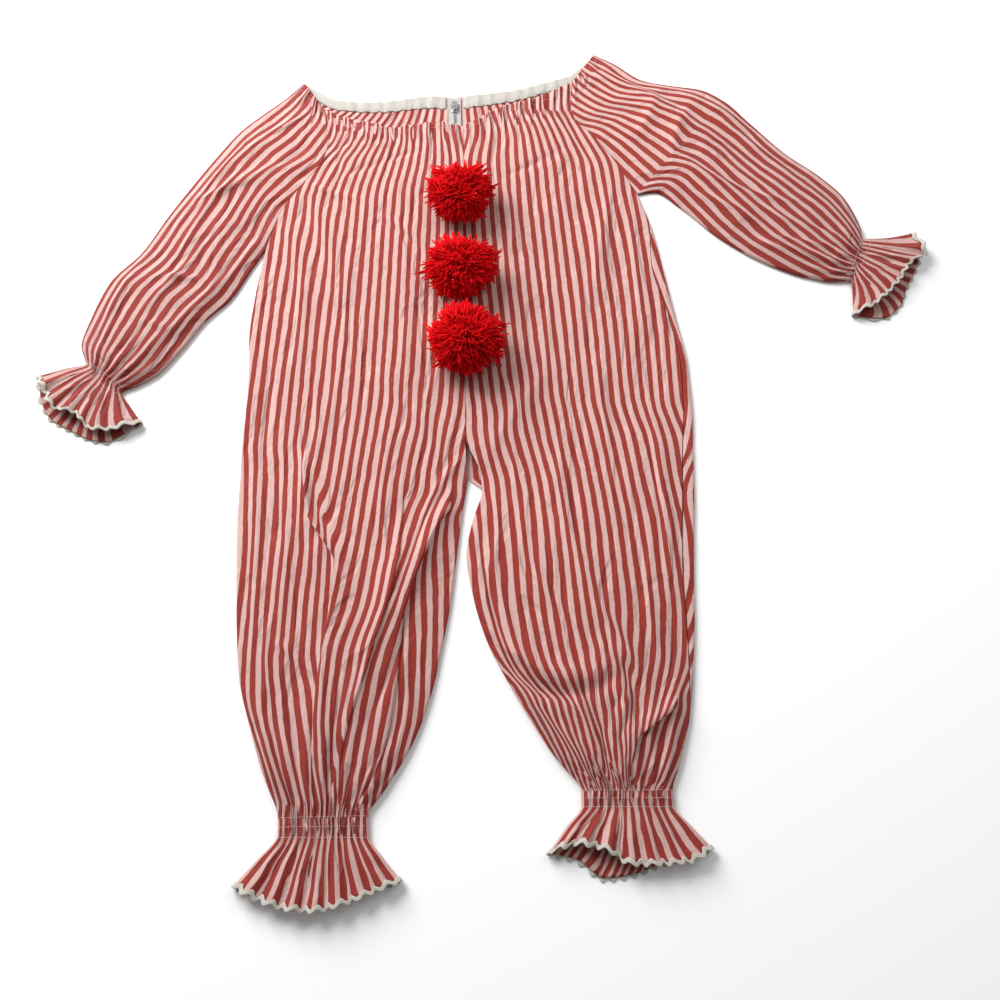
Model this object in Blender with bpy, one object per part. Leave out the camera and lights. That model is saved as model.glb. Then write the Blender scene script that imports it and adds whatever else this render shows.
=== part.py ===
"""Child's clown jumpsuit, laid flat on its back.

Every cloth piece is one thin wall. Its middle surface starts as a flat grid whose rows run from the
neck to the hem and whose columns run across the piece, and each point is then carried to its place
on the flattened garment. Left and right are those of someone looking down on the front.
Plan positions in the tables are millimetres: +X right, +Y towards the neck, +Z up off the floor.
"""
import math
from functools import partial

import bmesh
import bpy
import numpy as np

MM = 0.001

# Cloth and trimmings
WALL = 1.2                 # thickness of every cloth piece
SEAM_GAP = 0.3             # between neighbours at a seam, and between a panel and what lies on it
CASING_WALL = 1.0
CASING_DROP = 0.5          # depth of the white neck casing, in rows of the back
CASING_START = 0.5         # columns it keeps clear of the sleeve's crease
CASING_EASE = 0.15         # extra room under it where the back is gathered
TAPE_WALL = 1.0
TAPE_WIDTH = 8.5
TRIM_WALL = 1.0
TRIM_WIDTH = 4.0           # of the rick-rack braid itself
TRIM_SWING = 3.0           # how far its waves reach to each side of the hem
TRIM_EASE = 0.5            # room between the braid and the cloth
UNDER_WAVES = {"hem": 15, "cuff": 11}
HEM_ROW_LENGTH = 27.0      # cloth from one row to the next at an ankle and a wrist ruffle
CUFF_ROW_LENGTH = 30.0
SEAM_STEP = 0.1            # its ends stop this many columns short of the seam

# Zip: the slider sits at the top of the centre back and its tab lies up over the casing
SLIDER_AT = (-53.0, 446.0)
SLIDER_SIZE = (6.4, 8.4, 2.0)
SLIDER_ROUNDING = 0.6
BRIDGE_SIZE = (1.8, 5.6, 2.6)
BRIDGE_SINK = 0.3          # how far the bridge is set into the slider
BRIDGE_HOLE = (3.2, 1.8)
TAB_SIZE = (8.6, 14.0, 1.0)
TAB_ROUNDING = 2.4
TAB_WINDOW = (4.0, 4.2)
TAB_SLOPE = math.radians(-3)
TAPE_ROWS = (0.05, 0.5, 1, 2, 3, 4, 5, 6)    # rows of the centre back

# Pompoms: name, place on the centre front, radius across, half height
POMPOMS = (
    ("pompom_top", -42.0, 283.0, 44.0, 25.0),
    ("pompom_middle", -39.0, 169.0, 45.0, 26.0),
    ("pompom_bottom", -32.0, 68.0, 47.0, 27.0),
)
POMPOM_REST = 9.8          # lowest yarn above the floor, just over the front
CORE_SHARE = 0.5           # of a pompom's radius: its core, how far down that reaches, how far its
CORE_FLAT = 0.4            # locks reach on average, how far they lean and how far they sag
LOCK_REACH = 0.93
LOCK_SWIRL = 0.05
LOCK_SAG = 0.1
LOCK_TAPER = 0.75          # width of a lock at its tip over its width at its root

# Rows of the body: 0 neck, 5 underarm, 10 end of the front seam, 11 crotch, 19 to 20 ankle elastic,
# 22 hem. Rows of a sleeve: 0 neck, 5 underarm, 12 wrist elastic, 14 hem.
UNDERARM_ROW = 5
CROTCH_ROW = 11
HEM_ROW = 22
CUFF_ROW = 14
RAGLAN_ROWS = (0, .4, 1, 2, 3, 4, 5)
BODY_ROWS = RAGLAN_ROWS + (5.4, 6, 7, 8.5, 10, 11, 11.4, 12, 13, 14, 15,
                           16, 17, 17.8, 18.5, 19.1, 19.6, 20.1, 20.7, 21.4, 22)
SLEEVE_ROWS = RAGLAN_ROWS + (5.4, 6, 7.3, 8.6, 9.8, 10.8, 11.5, 12, 12.5, 13.2, 14)
FOLD_ROWS = 0.4            # an edge goes from flat to fully turned over this many rows
FLAT_EASE = 0.05           # room added to half a seam's gap: flat, round a fold, where a fold starts
FOLD_EASE = 0.25
CORNER_EASE = 0.25
LAP_ROWS = 1.6             # and the side seam moves over on to the front within these

# Seam and fold lines in plan, one (x, y) for each row they cross
CENTRE_FRONT = ((-41, 417), (-40, 385), (-39.5, 350), (-38.5, 305), (-37.5, 262), (-36, 220),
                (-35, 160), (-34, 105), (-33, 50), (-32, 0), (-31, -54))
CENTRE_BACK = ((-53, 470), (-52, 425), (-51, 380), (-49, 330), (-47, 280), (-45, 225),
               (-42, 165), (-40, 110), (-38, 55), (-35, 0), (-32, -50), (-27, -99))
RAGLAN_LEFT = ((-227, 446), (-216, 408), (-221, 366), (-248, 317), (-272, 270), (-284, 218))
RAGLAN_RIGHT = ((106, 494), (103, 456), (110, 424), (133, 400), (160, 353), (184, 304))
BACK_RAGLAN_LEFT = ((-240, 480), (-236, 445), (-240, 405), (-252, 350), (-271, 280), (-284, 218))
BACK_RAGLAN_RIGHT = ((122, 526), (124, 490), (130, 455), (142, 410), (160, 360), (184, 304))
SIDE_LEFT = ((-284, 218), (-290, 150), (-292, 100), (-288, 50), (-285.5, 0), (-285, -55),
             (-283, -95), (-281, -140), (-277, -190), (-272, -240), (-266, -290), (-259, -330),
             (-246, -370), (-228, -418), (-208, -462), (-207, -479), (-226, -503), (-244, -524))
SIDE_RIGHT = ((184, 304), (200, 245), (210, 180), (219, 120), (229, 50), (230, -5),
              (227, -60), (224, -115), (220, -165), (216, -215), (213, -262), (208, -310),
              (201, -360), (187, -410), (178, -436), (178, -451), (194, -471), (211, -490))
INSEAM_LEFT = ((-34, -142), (-39, -190), (-44, -240), (-53, -295), (-62, -340), (-79, -390),
               (-104, -434), (-120, -460), (-119, -479), (-103, -501), (-87, -519))
INSEAM_RIGHT = ((-12, -114), (-22, -150), (-28, -190), (-20, -238), (-6, -284), (20, -335),
                (62, -403), (88, -436), (88, -451), (72, -472), (55, -495))
FRONT_RISE_LEFT = ((-31, -54), (-29, -97))      # where the fronts part at the crotch
FRONT_RISE_RIGHT = ((-31, -54), (-14, -90))
SLEEVE_FOLD_LEFT = ((-258, 494), (-282, 464), (-310, 436), (-336, 407), (-361, 366), (-386, 320),
                    (-412, 268), (-437, 212), (-470, 166), (-484, 116), (-490, 80), (-484, 60),
                    (-480, 50), (-504, 43), (-533, 32))
SLEEVE_FOLD_RIGHT = ((137, 546), (163, 530), (203, 498), (239, 489), (278, 482), (310, 461),
                     (341, 421), (381, 370), (422, 331), (448, 296), (459, 262), (462, 245),
                     (463, 231), (492, 233), (525, 239))
UNDERARM_LEFT = ((-284, 218), (-301, 182), (-319, 144), (-347, 110), (-370, 71), (-394, 37),
                 (-416, 22), (-433, 12), (-420, -7), (-404, -28))
UNDERARM_RIGHT = ((184, 304), (207, 308), (240, 280), (281, 237), (330, 200), (385, 175),
                  (415, 169), (440, 170), (438, 145), (434, 119))

# One row for each section: radius of the folded edges, rise of the upper sheet at its fullest, and
# how far the right side seam is turned on to the front
SECTION_COLUMNS = ("radius", "puff", "lap")
BODY_SECTIONS = (
    (1.5, 0.0, 0), (1.5, 1.5, 0), (1.5, 3.5, 0), (1.5, 5.0, 0), (1.5, 5.0, 0), (1.5, 5.0, 0),
    (1.6, 5.0, 15), (1.7, 5.0, 14), (1.8, 5.0, 9), (1.8, 5.0, 9), (1.8, 5.0, 11), (1.8, 5.0, 13),
    (1.8, 6.0, 14), (1.9, 7.0, 14), (2.0, 7.5, 13), (2.1, 8.0, 10), (2.3, 8.5, 6), (2.6, 8.0, 2),
    (3.0, 6.0, 0), (3.0, 2.0, 0), (3.0, 2.0, 0), (3.0, 3.0, 0), (3.0, 3.0, 0),
)
SLEEVE_SECTIONS = (
    (1.5, 0.0, 0), (1.5, 1.5, 0), (1.5, 3.0, 0), (1.5, 4.5, 0), (1.5, 6.0, 0), (1.5, 7.0, 0),
    (1.7, 7.5, 0), (1.9, 8.0, 0), (2.1, 8.0, 0), (2.4, 8.0, 0), (2.7, 7.0, 0), (3.0, 4.0, 0),
    (3.0, 1.5, 0), (3.0, 3.0, 0), (3.0, 3.0, 0),
)

# How far an end of a piece bows out past the straight line between its corners, at even steps
# from its outer corner to its inner one
BOWS = {
    "neck_front_left": (0, 11, 14, 18, 8, -1, 0),
    "neck_front_right": (0, 2, 3, -2.5, -6, -2, 0),
    "neck_back_left": (0, 15, 16.5, 14, 7, 1, 0),
    "neck_back_right": (0, 12.5, 13.5, 14, 11, 6, 0),
    "hem_front_left": (0, 13, 22, 24.5, 19, 10, 0),
    "hem_front_right": (0, 12, 13, 12, -3, -8, 0),
    "hem_back_left": (0, 9, 16, 18, 14, 8, 0),
    "hem_back_right": (0, 8, 14, 22, 24, 6, 0),
    "cuff_front_left": (0, 14, 28, 23, 33, 23, 0),
    "cuff_front_right": (0, 27, 18, 20, 18, 13, 0),
    "cuff_back_left": (0, 27, 40, 42, 43, 37, 0),
    "cuff_back_right": (0, 24, 30, 33, 39, 35, 0),
}
BACK_GATHERS_CLEAR = 22.0  # gathers of the back start this far in from the raglan seam
NECK_BOW_ROWS = 3.0        # a bow at the neck has faded out this many rows down
HEM_BOW_ROWS = 2.0

# Gathers, rays and ruffle waves: strongest row, rows they fade over before and after it, how many
# across the piece, and height
FRONT_GATHERS = ((0.0, 1.0, 2.2, 14, 2.8), (19.6, 1.6, 1.0, 14, 1.8), (18.1, 2.6, 1.2, 7, 4.0),
                 (22.0, 2.2, 9.0, 7, 5.5))
BACK_GATHERS = ((0.0, 1.0, 1.2, 10, 1.6),)
SLEEVE_GATHERS = ((0.0, 1.0, 1.6, 6, 1.8), (12.0, 1.2, 0.9, 8, 1.6), (10.9, 2.2, 0.9, 6, 3.5),
                  (14.0, 1.7, 9.0, 6, 5.0))
GATHER_CUTS = 1            # extra columns put between two columns of a gathered stretch
BACK_GATHER_CUTS = 3

# Largest folds, each a soft ridge through three points: x, y three times, its reach to the left and
# to the right of its line, and its height
FOLDS = {
    "outer_leg_left": (-270, -50, -255, -200, -245, -330, 9, 9, 3.0),
    "second_leg_left": (-240, -60, -225, -200, -225, -330, 10, 10, 3.0),
    "kinked_tuck_left": (-215, -60, -200, -150, -170, -215, 16, 9, 5.0),
    "overlap_left": (-30, -115, -70, -185, -95, -265, 22, 9, 5.0),
    "valley_edge_left": (-100, -180, -120, -285, -155, -385, 16, 11, 4.0),
    "ankle_ray_left": (-170, -300, -170, -375, -165, -445, 10, 10, 4.0),
    "outer_ray_left": (-240, -350, -220, -395, -195, -450, 9, 9, 4.0),
    "bulge_right": (5, -285, 70, -325, 130, -305, 24, 16, 5.5),
    "notched_tuck_right": (120, -300, 135, -345, 120, -390, 11, 16, 4.5),
    "shaded_fold_right": (195, -340, 170, -365, 145, -390, 14, 11, 4.5),
    "inner_edge_right": (-15, -150, 10, -290, 95, -425, 9, 9, 3.5),
    "long_leg_right": (60, -60, 100, -220, 150, -320, 16, 12, 3.0),
    "outer_leg_right": (180, 0, 190, -120, 190, -240, 10, 10, 3.0),
    "hip_left": (-130, 30, -85, -20, -45, -85, 12, 12, 3.0),
    "hip_right": (75, 45, 30, -10, -10, -80, 12, 12, 3.0),
    "drag_left": (-240, 300, -205, 220, -180, 115, 10, 10, 3.5),
    "side_drag_left": (-265, 250, -235, 160, -230, 45, 9, 9, 3.0),
    "drag_right": (150, 315, 135, 235, 115, 130, 10, 10, 3.5),
    "side_drag_right": (175, 290, 175, 205, 180, 100, 8, 8, 2.5),
    "sleeve_crown_left": (-250, 435, -330, 360, -400, 250, 12, 12, 4.0),
    "sleeve_middle_left": (-245, 350, -305, 330, -370, 290, 10, 10, 3.5),
    "sleeve_top_left": (-430, 205, -455, 140, -460, 75, 10, 10, 4.0),
    "sleeve_under_left": (-290, 230, -345, 145, -425, 45, 9, 9, 3.5),
    "sleeve_crown_right": (150, 500, 245, 430, 300, 370, 14, 12, 5.0),
    "sleeve_middle_right": (220, 385, 280, 320, 365, 250, 12, 10, 4.0),
    "sleeve_top_right": (230, 485, 300, 440, 350, 395, 12, 10, 4.5),
    "sleeve_wrist_right": (390, 320, 430, 270, 450, 230, 9, 9, 3.5),
    "sleeve_under_right": (320, 225, 370, 210, 420, 190, 9, 9, 3.5),
}
FOLD_STEPS = 10            # straight steps that stand for a fold's curved line
EDGE_SOFTENING = 14.0      # relief fades out over this much cloth beside a folded edge
SEAM_HOLD = 0.3            # share of the relief that a flat seam lets through


def smooth(values, rows):
    """Values of a table column at fractional rows, on a curve that never overshoots its rows."""
    values = np.asarray(values, float)
    steps = np.diff(values)
    same_way = steps[:-1] * steps[1:]
    total = np.where(same_way > 0, steps[:-1] + steps[1:], 1.0)
    inner = np.where(same_way > 0, 2 * same_way / total, 0.0)
    slopes = np.concatenate([steps[:1], inner, steps[-1:]])
    low = np.clip(np.floor(rows).astype(int), 0, len(values) - 2)
    t = rows - low
    start, end = values[low], values[low + 1]
    curve = (start * (1 + 2 * t) * (1 - t) ** 2 + end * t * t * (3 - 2 * t)
             + slopes[low] * t * (1 - t) ** 2 - slopes[low + 1] * t * t * (1 - t))
    past_end = values[-1] + slopes[-1] * (rows - len(values) + 1)
    return np.where(rows > len(values) - 1, past_end, curve)


def ease(share):
    """0 to 1 with soft ends."""
    share = np.clip(share, 0, 1)
    return share * share * (3 - 2 * share)


def line_at(stretches, rows):
    """Plan positions on a line made of stretches that meet at corners, one point a row."""
    first = 0
    x = y = np.zeros_like(rows)
    for points in stretches:
        here = rows >= first
        x = np.where(here, smooth([p[0] for p in points], np.maximum(rows - first, 0)), x)
        y = np.where(here, smooth([p[1] for p in points], np.maximum(rows - first, 0)), y)
        first += len(points) - 1
    return np.stack([x, y], axis=-1)


def section_at(sections, rows):
    """Every column of a section table at fractional rows."""
    rows = np.minimum(rows, len(sections) - 1)
    return {name: smooth([s[k] for s in sections], rows) for k, name in enumerate(SECTION_COLUMNS)}


def round_the_fold(way, radius):
    """Cloth that turns back on itself: how far in from the fold, and how far off the flat, it lies
    after a way along it that starts where the turn starts on the other sheet."""
    turn = math.pi * radius
    angle = np.clip(way, 0, turn) / radius
    inward = radius * (1 - np.sin(angle)) - np.minimum(way, 0) + np.maximum(way - turn, 0)
    return inward, radius * (1 + np.cos(angle))


def from_seam(distance, radius, fold, lap):
    """The same for cloth at a distance from a seam that lies half way round the fold, or further by
    the lap. Without a fold the piece just ends flat at the seam."""
    inward, lift = round_the_fold(distance + radius * math.pi / 2 + lap, radius)
    return (1 - fold) * distance + fold * inward, fold * lift


def taken_up(radius, fold, lap):
    """Plan width less cloth width that a seam's fold accounts for."""
    return fold * (radius * (1 - math.pi / 2) + lap)


def seam_gap(rows, first_row):
    """Half the gap at a seam. Round a fold the walls' inner corners come closer than their middles,
    and where a flat seam starts to turn they lean on each other."""
    corner = np.clip(1 - np.abs(rows - first_row), 0, 1)
    return SEAM_GAP / 2 + FLAT_EASE + turned(rows, first_row) * FOLD_EASE + corner * CORNER_EASE


def turned(rows, first_row):
    """Share of a fold at a seam that lies flat down to its first row."""
    return ease((rows - first_row) / FOLD_ROWS)


def hem_lift(rows, hem_row):
    """The braid lies under the hem, which is raised by as much."""
    return (TRIM_WALL + TRIM_EASE) * ease(rows - hem_row + 1)


def held_by_seam(distance, fold):
    """Share of the relief at a distance from a seam."""
    at_seam = SEAM_HOLD * (1 - fold)
    return at_seam + (1 - at_seam) * ease(distance / EDGE_SOFTENING)


def step_through(stops, columns):
    """Cloth distance at fractional columns, given the distance at each whole one."""
    stops = np.stack(stops)
    low = np.clip(np.floor(columns).astype(int), 0, len(stops) - 2)
    share = columns - low
    pick = np.arange(len(columns))
    return stops[low, pick] * (1 - share) + stops[low + 1, pick] * share


def bowed(plan, outer, inner, hand, share, rows, neck, hem, hem_row):
    """Moves points out past the straight section lines, towards the neck's and the hem's own curves."""
    along = (inner - outer) / np.linalg.norm(inner - outer, axis=1)[:, None]
    down = hand * np.stack([along[:, 1], -along[:, 0]], axis=-1)
    steps = share * (len(BOWS[hem]) - 1)
    reach = (smooth(BOWS[hem], steps) * ease(1 - (hem_row - rows) / HEM_BOW_ROWS))
    if neck:
        reach = reach + smooth(BOWS[neck], steps) * ease(1 - rows / NECK_BOW_ROWS)
    return plan + down * reach[:, None]


def folds_at(x, y):
    """Height of the largest folds at plan points."""
    height = np.zeros_like(x)
    for x0, y0, x1, y1, x2, y2, left, right, rise in FOLDS.values():
        nearest = np.full_like(x, 1e9)
        ridge = np.zeros_like(x)
        for k in range(FOLD_STEPS + 1):
            t = k / FOLD_STEPS
            px = x0 * (1 - t) ** 2 + 2 * (2 * x1 - (x0 + x2) / 2) * t * (1 - t) + x2 * t * t
            py = y0 * (1 - t) ** 2 + 2 * (2 * y1 - (y0 + y2) / 2) * t * (1 - t) + y2 * t * t
            gap = np.hypot(x - px, y - py)
            side = (x - px) * (y2 - y0) - (y - py) * (x2 - x0) > 0
            reach = np.where(side, left, right)
            step = math.hypot(x2 - x0, y2 - y0) / FOLD_STEPS
            off_line = np.sqrt(np.maximum(gap ** 2 - (step / 2) ** 2, 0)) / reach
            closer = off_line < nearest
            nearest = np.where(closer, off_line, nearest)
            ridge = np.where(closer, rise * math.sin(math.pi * (0.1 + 0.8 * t)), ridge)
        height += ridge * np.exp(-nearest ** 2)
    return height


def gathers_at(gathers, across, rows):
    """Height of the gathers at a share of the way across a piece and a row."""
    height = np.zeros_like(rows)
    for row, before, after, waves, rise in gathers:
        fade = ease(1 - np.where(rows < row, (row - rows) / before, (rows - row) / after))
        uneven = 0.8 + 0.2 * np.cos(5.1 * across + row)
        inside = np.clip(across, 0, 1)
        height += rise * uneven * fade * (0.5 - 0.5 * np.cos(2 * math.pi * waves * inside))
    return height


def outer_line(side, back=False):
    raglan = {"left": BACK_RAGLAN_LEFT if back else RAGLAN_LEFT,
              "right": BACK_RAGLAN_RIGHT if back else RAGLAN_RIGHT}[side]
    return raglan, {"left": SIDE_LEFT, "right": SIDE_RIGHT}[side]


def inner_line(side, back=False):
    inseam = {"left": INSEAM_LEFT, "right": INSEAM_RIGHT}[side]
    if back:
        return CENTRE_BACK, (CENTRE_BACK[-1],) + inseam
    rise = {"left": FRONT_RISE_LEFT, "right": FRONT_RISE_RIGHT}[side]
    return CENTRE_FRONT, rise, (rise[-1],) + inseam


EDGE_STOPS = 2             # columns spent on a folded edge of a front, a sleeve or an inseam
LAP_STOPS = 4              # columns spent on the side of a back, which may wrap on to the front
FRONT_COLUMNS = 14         # plain columns between the edges
BACK_COLUMNS = 5
SLEEVE_TOP_COLUMNS = 12
SLEEVE_TURN_COLUMNS = 3
SLEEVE_UNDER_COLUMNS = 6
FRONT_ALL = EDGE_STOPS * 2 + FRONT_COLUMNS
BACK_ALL = LAP_STOPS + BACK_COLUMNS + EDGE_STOPS
SLEEVE_ALL = EDGE_STOPS * 2 + SLEEVE_TOP_COLUMNS + SLEEVE_TURN_COLUMNS + SLEEVE_UNDER_COLUMNS


def between(start, end, count):
    """Even steps from one cloth distance to the next, without its ends."""
    return [start + (end - start) * k / count for k in range(1, count)]


def lap_at(side, lap, rows):
    """How far a side seam is turned on to the front, which only the right one is."""
    return lap * ease((rows - UNDERARM_ROW - FOLD_ROWS) / LAP_ROWS) * (side == "right")


def lap_stops(gap, radius, lap):
    """Cloth distances of the columns that take the side of a back, from its seam round the fold."""
    quarter = radius * math.pi / 2
    bunched = np.clip(lap / (2 * quarter), 0, 1)
    stops = [gap]
    for k in range(1, LAP_STOPS + 1):
        even = (quarter + lap) * k / LAP_STOPS
        turn_only = lap - quarter + 2 * quarter * (k - 1) / (LAP_STOPS - 1)
        stops.append(gap + even * (1 - bunched) + turn_only * bunched)
    return stops


def edge_stops(gap, radius):
    """Cloth distances of the columns that take a quarter turn."""
    return [gap + k / EDGE_STOPS * radius * math.pi / 2 for k in range(EDGE_STOPS + 1)]


def front_point(side, columns, rows):
    """Middle surface of a front."""
    hand = 1 if side == "left" else -1
    s = section_at(BODY_SECTIONS, rows)
    radius = s["radius"]
    lap = lap_at(side, s["lap"], rows)
    side_fold, inner_fold = turned(rows, UNDERARM_ROW), turned(rows, CROTCH_ROW)
    outer, inner = line_at(outer_line(side), rows), line_at(inner_line(side), rows)
    width = np.linalg.norm(inner - outer, axis=1)
    cloth = width - taken_up(radius, side_fold, lap) - taken_up(radius, inner_fold, 0)
    start = edge_stops(seam_gap(rows, UNDERARM_ROW), radius)
    end = [cloth - d for d in reversed(edge_stops(seam_gap(rows, CROTCH_ROW), radius))]
    distance = step_through(start + between(start[-1], end[0], FRONT_COLUMNS) + end, columns)
    in_side, drop_side = from_seam(distance, radius, side_fold, lap)
    in_inner, drop_inner = from_seam(cloth - distance, radius, inner_fold, 0)
    near_side = distance < cloth / 2
    share = np.where(near_side, in_side, width - in_inner) / width
    plan = outer + (inner - outer) * share[:, None]
    plan = bowed(plan, outer, inner, hand, share, rows,
                 "neck_front_" + side, "hem_front_" + side, HEM_ROW)
    level = WALL / 2 + 2 * radius - np.where(near_side, drop_side, drop_inner)
    puff = s["puff"] * ((1 - inner_fold) * np.sin(math.pi / 2 * share)
                        + inner_fold * np.sin(math.pi * share))
    held = held_by_seam(distance, side_fold) * held_by_seam(cloth - distance, inner_fold)
    across = (columns - EDGE_STOPS) / FRONT_COLUMNS
    relief = folds_at(plan[:, 0], plan[:, 1]) + gathers_at(FRONT_GATHERS, across, rows)
    return np.column_stack([plan, level + puff + relief * held + hem_lift(rows, HEM_ROW)])


def back_point(side, columns, rows):
    """Middle surface of a back, flat on the floor with its side and inseam edges turned up."""
    hand = 1 if side == "left" else -1
    s = section_at(BODY_SECTIONS, rows)
    radius = s["radius"]
    lap = lap_at(side, s["lap"], rows)
    side_fold, inner_fold = turned(rows, UNDERARM_ROW), turned(rows, CROTCH_ROW)
    outer, inner = line_at(outer_line(side, True), rows), line_at(inner_line(side, True), rows)
    width = np.linalg.norm(inner - outer, axis=1)
    cloth = width - taken_up(radius, side_fold, -lap) - taken_up(radius, inner_fold, 0)
    start = lap_stops(seam_gap(rows, UNDERARM_ROW), radius, lap)
    end = [cloth - d for d in reversed(edge_stops(seam_gap(rows, CROTCH_ROW), radius))]
    distance = step_through(start + between(start[-1], end[0], BACK_COLUMNS) + end, columns)
    in_side, rise_side = from_seam(distance, radius, side_fold, -lap)
    in_inner, rise_inner = from_seam(cloth - distance, radius, inner_fold, 0)
    near_side = distance < cloth / 2
    share = np.where(near_side, in_side, width - in_inner) / width
    plan = outer + (inner - outer) * share[:, None]
    plan = bowed(plan, outer, inner, hand, share, rows,
                 "neck_back_" + side, "hem_back_" + side, HEM_ROW)
    level = WALL / 2 + np.where(near_side, rise_side, rise_inner)
    clear = (ease((cloth - distance) / TAPE_WIDTH - 1.5)
             * ease(distance / BACK_GATHERS_CLEAR - 1))
    gathers = gathers_at(BACK_GATHERS, (columns - LAP_STOPS) / BACK_COLUMNS, rows) * clear
    return np.column_stack([plan, level + gathers + hem_lift(rows, HEM_ROW)])


def sleeve_point(side, columns, rows):
    """Middle surface of a sleeve: over the top from the front raglan or underarm seam to the outer
    crease, round it, and back under to the same seam."""
    hand = 1 if side == "left" else -1
    s = section_at(SLEEVE_SECTIONS, rows)
    radius, fold = s["radius"], turned(rows, UNDERARM_ROW)
    arm = {"left": UNDERARM_LEFT, "right": UNDERARM_RIGHT}[side]
    crease = line_at([{"left": SLEEVE_FOLD_LEFT, "right": SLEEVE_FOLD_RIGHT}[side]], rows)
    over = line_at([outer_line(side)[0], arm], rows)
    under = line_at([outer_line(side, True)[0], arm], rows)
    over_width = np.linalg.norm(over - crease, axis=1)
    under_width = np.linalg.norm(under - crease, axis=1)
    over_cloth = over_width - radius - taken_up(radius, fold, 0)
    under_cloth = under_width - radius - taken_up(radius, fold, 0)
    turn = math.pi * radius
    cloth = over_cloth + turn + under_cloth
    start = edge_stops(seam_gap(rows, UNDERARM_ROW), radius)
    end = [cloth - d for d in reversed(start)]
    crease_stops = [over_cloth + turn * k / SLEEVE_TURN_COLUMNS
                    for k in range(SLEEVE_TURN_COLUMNS + 1)]
    distance = step_through(start + between(start[-1], over_cloth, SLEEVE_TOP_COLUMNS)
                            + crease_stops
                            + between(over_cloth + turn, end[0], SLEEVE_UNDER_COLUMNS)
                            + end, columns)
    on_top = distance < over_cloth + turn / 2
    angle = np.clip((distance - over_cloth) / radius, 0, math.pi)
    at_crease = (angle > 0) & (angle < math.pi)
    seam_way = np.where(on_top, distance, cloth - distance)
    inward, lift = from_seam(seam_way, radius, fold, 0)
    width = np.where(on_top, over_width, under_width)
    from_crease = np.where(at_crease, radius * (1 - np.sin(angle)), width - inward)
    share = from_crease / width
    plan = crease + (np.where(on_top[:, None], over, under) - crease) * share[:, None]
    upper = bowed(plan, crease, over, hand, share, rows, None, "cuff_front_" + side, CUFF_ROW)
    lower = bowed(plan, crease, under, hand, share, rows, None, "cuff_back_" + side, CUFF_ROW)
    way_round = ease(angle / math.pi)[:, None]
    plan = upper * (1 - way_round) + lower * way_round
    level = WALL / 2 + np.where(on_top, 2 * radius - lift, lift)
    level = np.where(at_crease, WALL / 2 + radius * (1 + np.cos(angle)), level)
    held = held_by_seam(seam_way, fold) * ease((over_cloth - distance) / EDGE_SOFTENING)
    across = (columns - EDGE_STOPS) / SLEEVE_TOP_COLUMNS
    relief = folds_at(plan[:, 0], plan[:, 1]) + gathers_at(SLEEVE_GATHERS, across, rows)
    puff = s["puff"] * np.sin(math.pi * np.clip(share, 0, 1))
    upper_only = (puff + relief * held) * (angle <= 0)
    return np.column_stack([plan, level + upper_only + hem_lift(rows, CUFF_ROW)])


def off_surface(point, columns, rows, out, step=0.02):
    """Points held off a middle surface along its own normal, and up where out is above it."""
    here = point(columns, rows)
    across = point(columns + step, rows) - point(columns - step, rows)
    along = point(columns, rows + step) - point(columns, rows - step)
    normal = np.cross(along, across)
    normal /= np.linalg.norm(normal, axis=1)[:, None]
    return here + normal * np.asarray(out)[..., None]


def cloth_grid(columns, rows, gathered=None, cuts=0):
    """Flat grid numbered in columns and rows, with more columns where it is gathered."""
    bm = bmesh.new()
    bmesh.ops.create_grid(bm, x_segments=columns, y_segments=len(rows) - 1, size=1)
    for vert in bm.verts:
        vert.co.x = (vert.co.x + 1) / 2 * columns
        vert.co.y = rows[round((vert.co.y + 1) / 2 * (len(rows) - 1))]
    if gathered:
        split = [edge for edge in bm.edges
                 if abs(edge.verts[0].co.y - edge.verts[1].co.y) < 1e-4
                 and gathered(min(v.co.x for v in edge.verts), edge.verts[0].co.y)]
        bmesh.ops.subdivide_edges(bm, edges=split, cuts=cuts)
    return bm


def finish(bm, name, material):
    """Turns a bmesh into a named object with smooth faces."""
    mesh = bpy.data.meshes.new(name)
    bm.to_mesh(mesh)
    bm.free()
    piece = bpy.data.objects.new(name, mesh)
    bpy.context.collection.objects.link(piece)
    piece.data.materials.append(material)
    piece.data.shade_smooth()
    return piece


def sewn(name, bm, point, wall, material):
    """Carries a flat grid to its place and gives it its wall."""
    bm.verts.ensure_lookup_table()
    flat = np.array([v.co for v in bm.verts], float)
    places = point(flat[:, 0], flat[:, 1]) * MM
    for vert, place in zip(bm.verts, places):
        vert.co = place
    piece = finish(bm, name, material)
    solid = piece.modifiers.new("wall", "SOLIDIFY")
    solid.thickness = wall * MM
    solid.offset = 0
    solid.use_rim = True
    return piece


def material(name, colour, roughness, metallic=0.0):
    surface = bpy.data.materials.new(name)
    surface.use_nodes = True
    shader = surface.node_tree.nodes["Principled BSDF"]
    shader.inputs["Base Color"].default_value = (*colour, 1)
    shader.inputs["Roughness"].default_value = roughness
    shader.inputs["Metallic"].default_value = metallic
    surface.diffuse_color = (*colour, 1)
    return surface


def make_fronts(cloth):
    def gathered(column, row):
        between_edges = EDGE_STOPS - 0.5 < column < EDGE_STOPS + FRONT_COLUMNS - 0.5
        return between_edges and (row < 1.7 or row > 16.5)
    for side in ("left", "right"):
        bm = cloth_grid(FRONT_ALL, BODY_ROWS, gathered, GATHER_CUTS)
        sewn("front_" + side, bm, partial(front_point, side), WALL, cloth)


def make_backs(cloth):
    def gathered(column, row):
        return LAP_STOPS - 0.5 < column < LAP_STOPS + BACK_COLUMNS - 0.5 and row < 1.1
    for side in ("left", "right"):
        bm = cloth_grid(BACK_ALL, BODY_ROWS, gathered, BACK_GATHER_CUTS)
        sewn("back_" + side, bm, partial(back_point, side), WALL, cloth)


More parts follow.
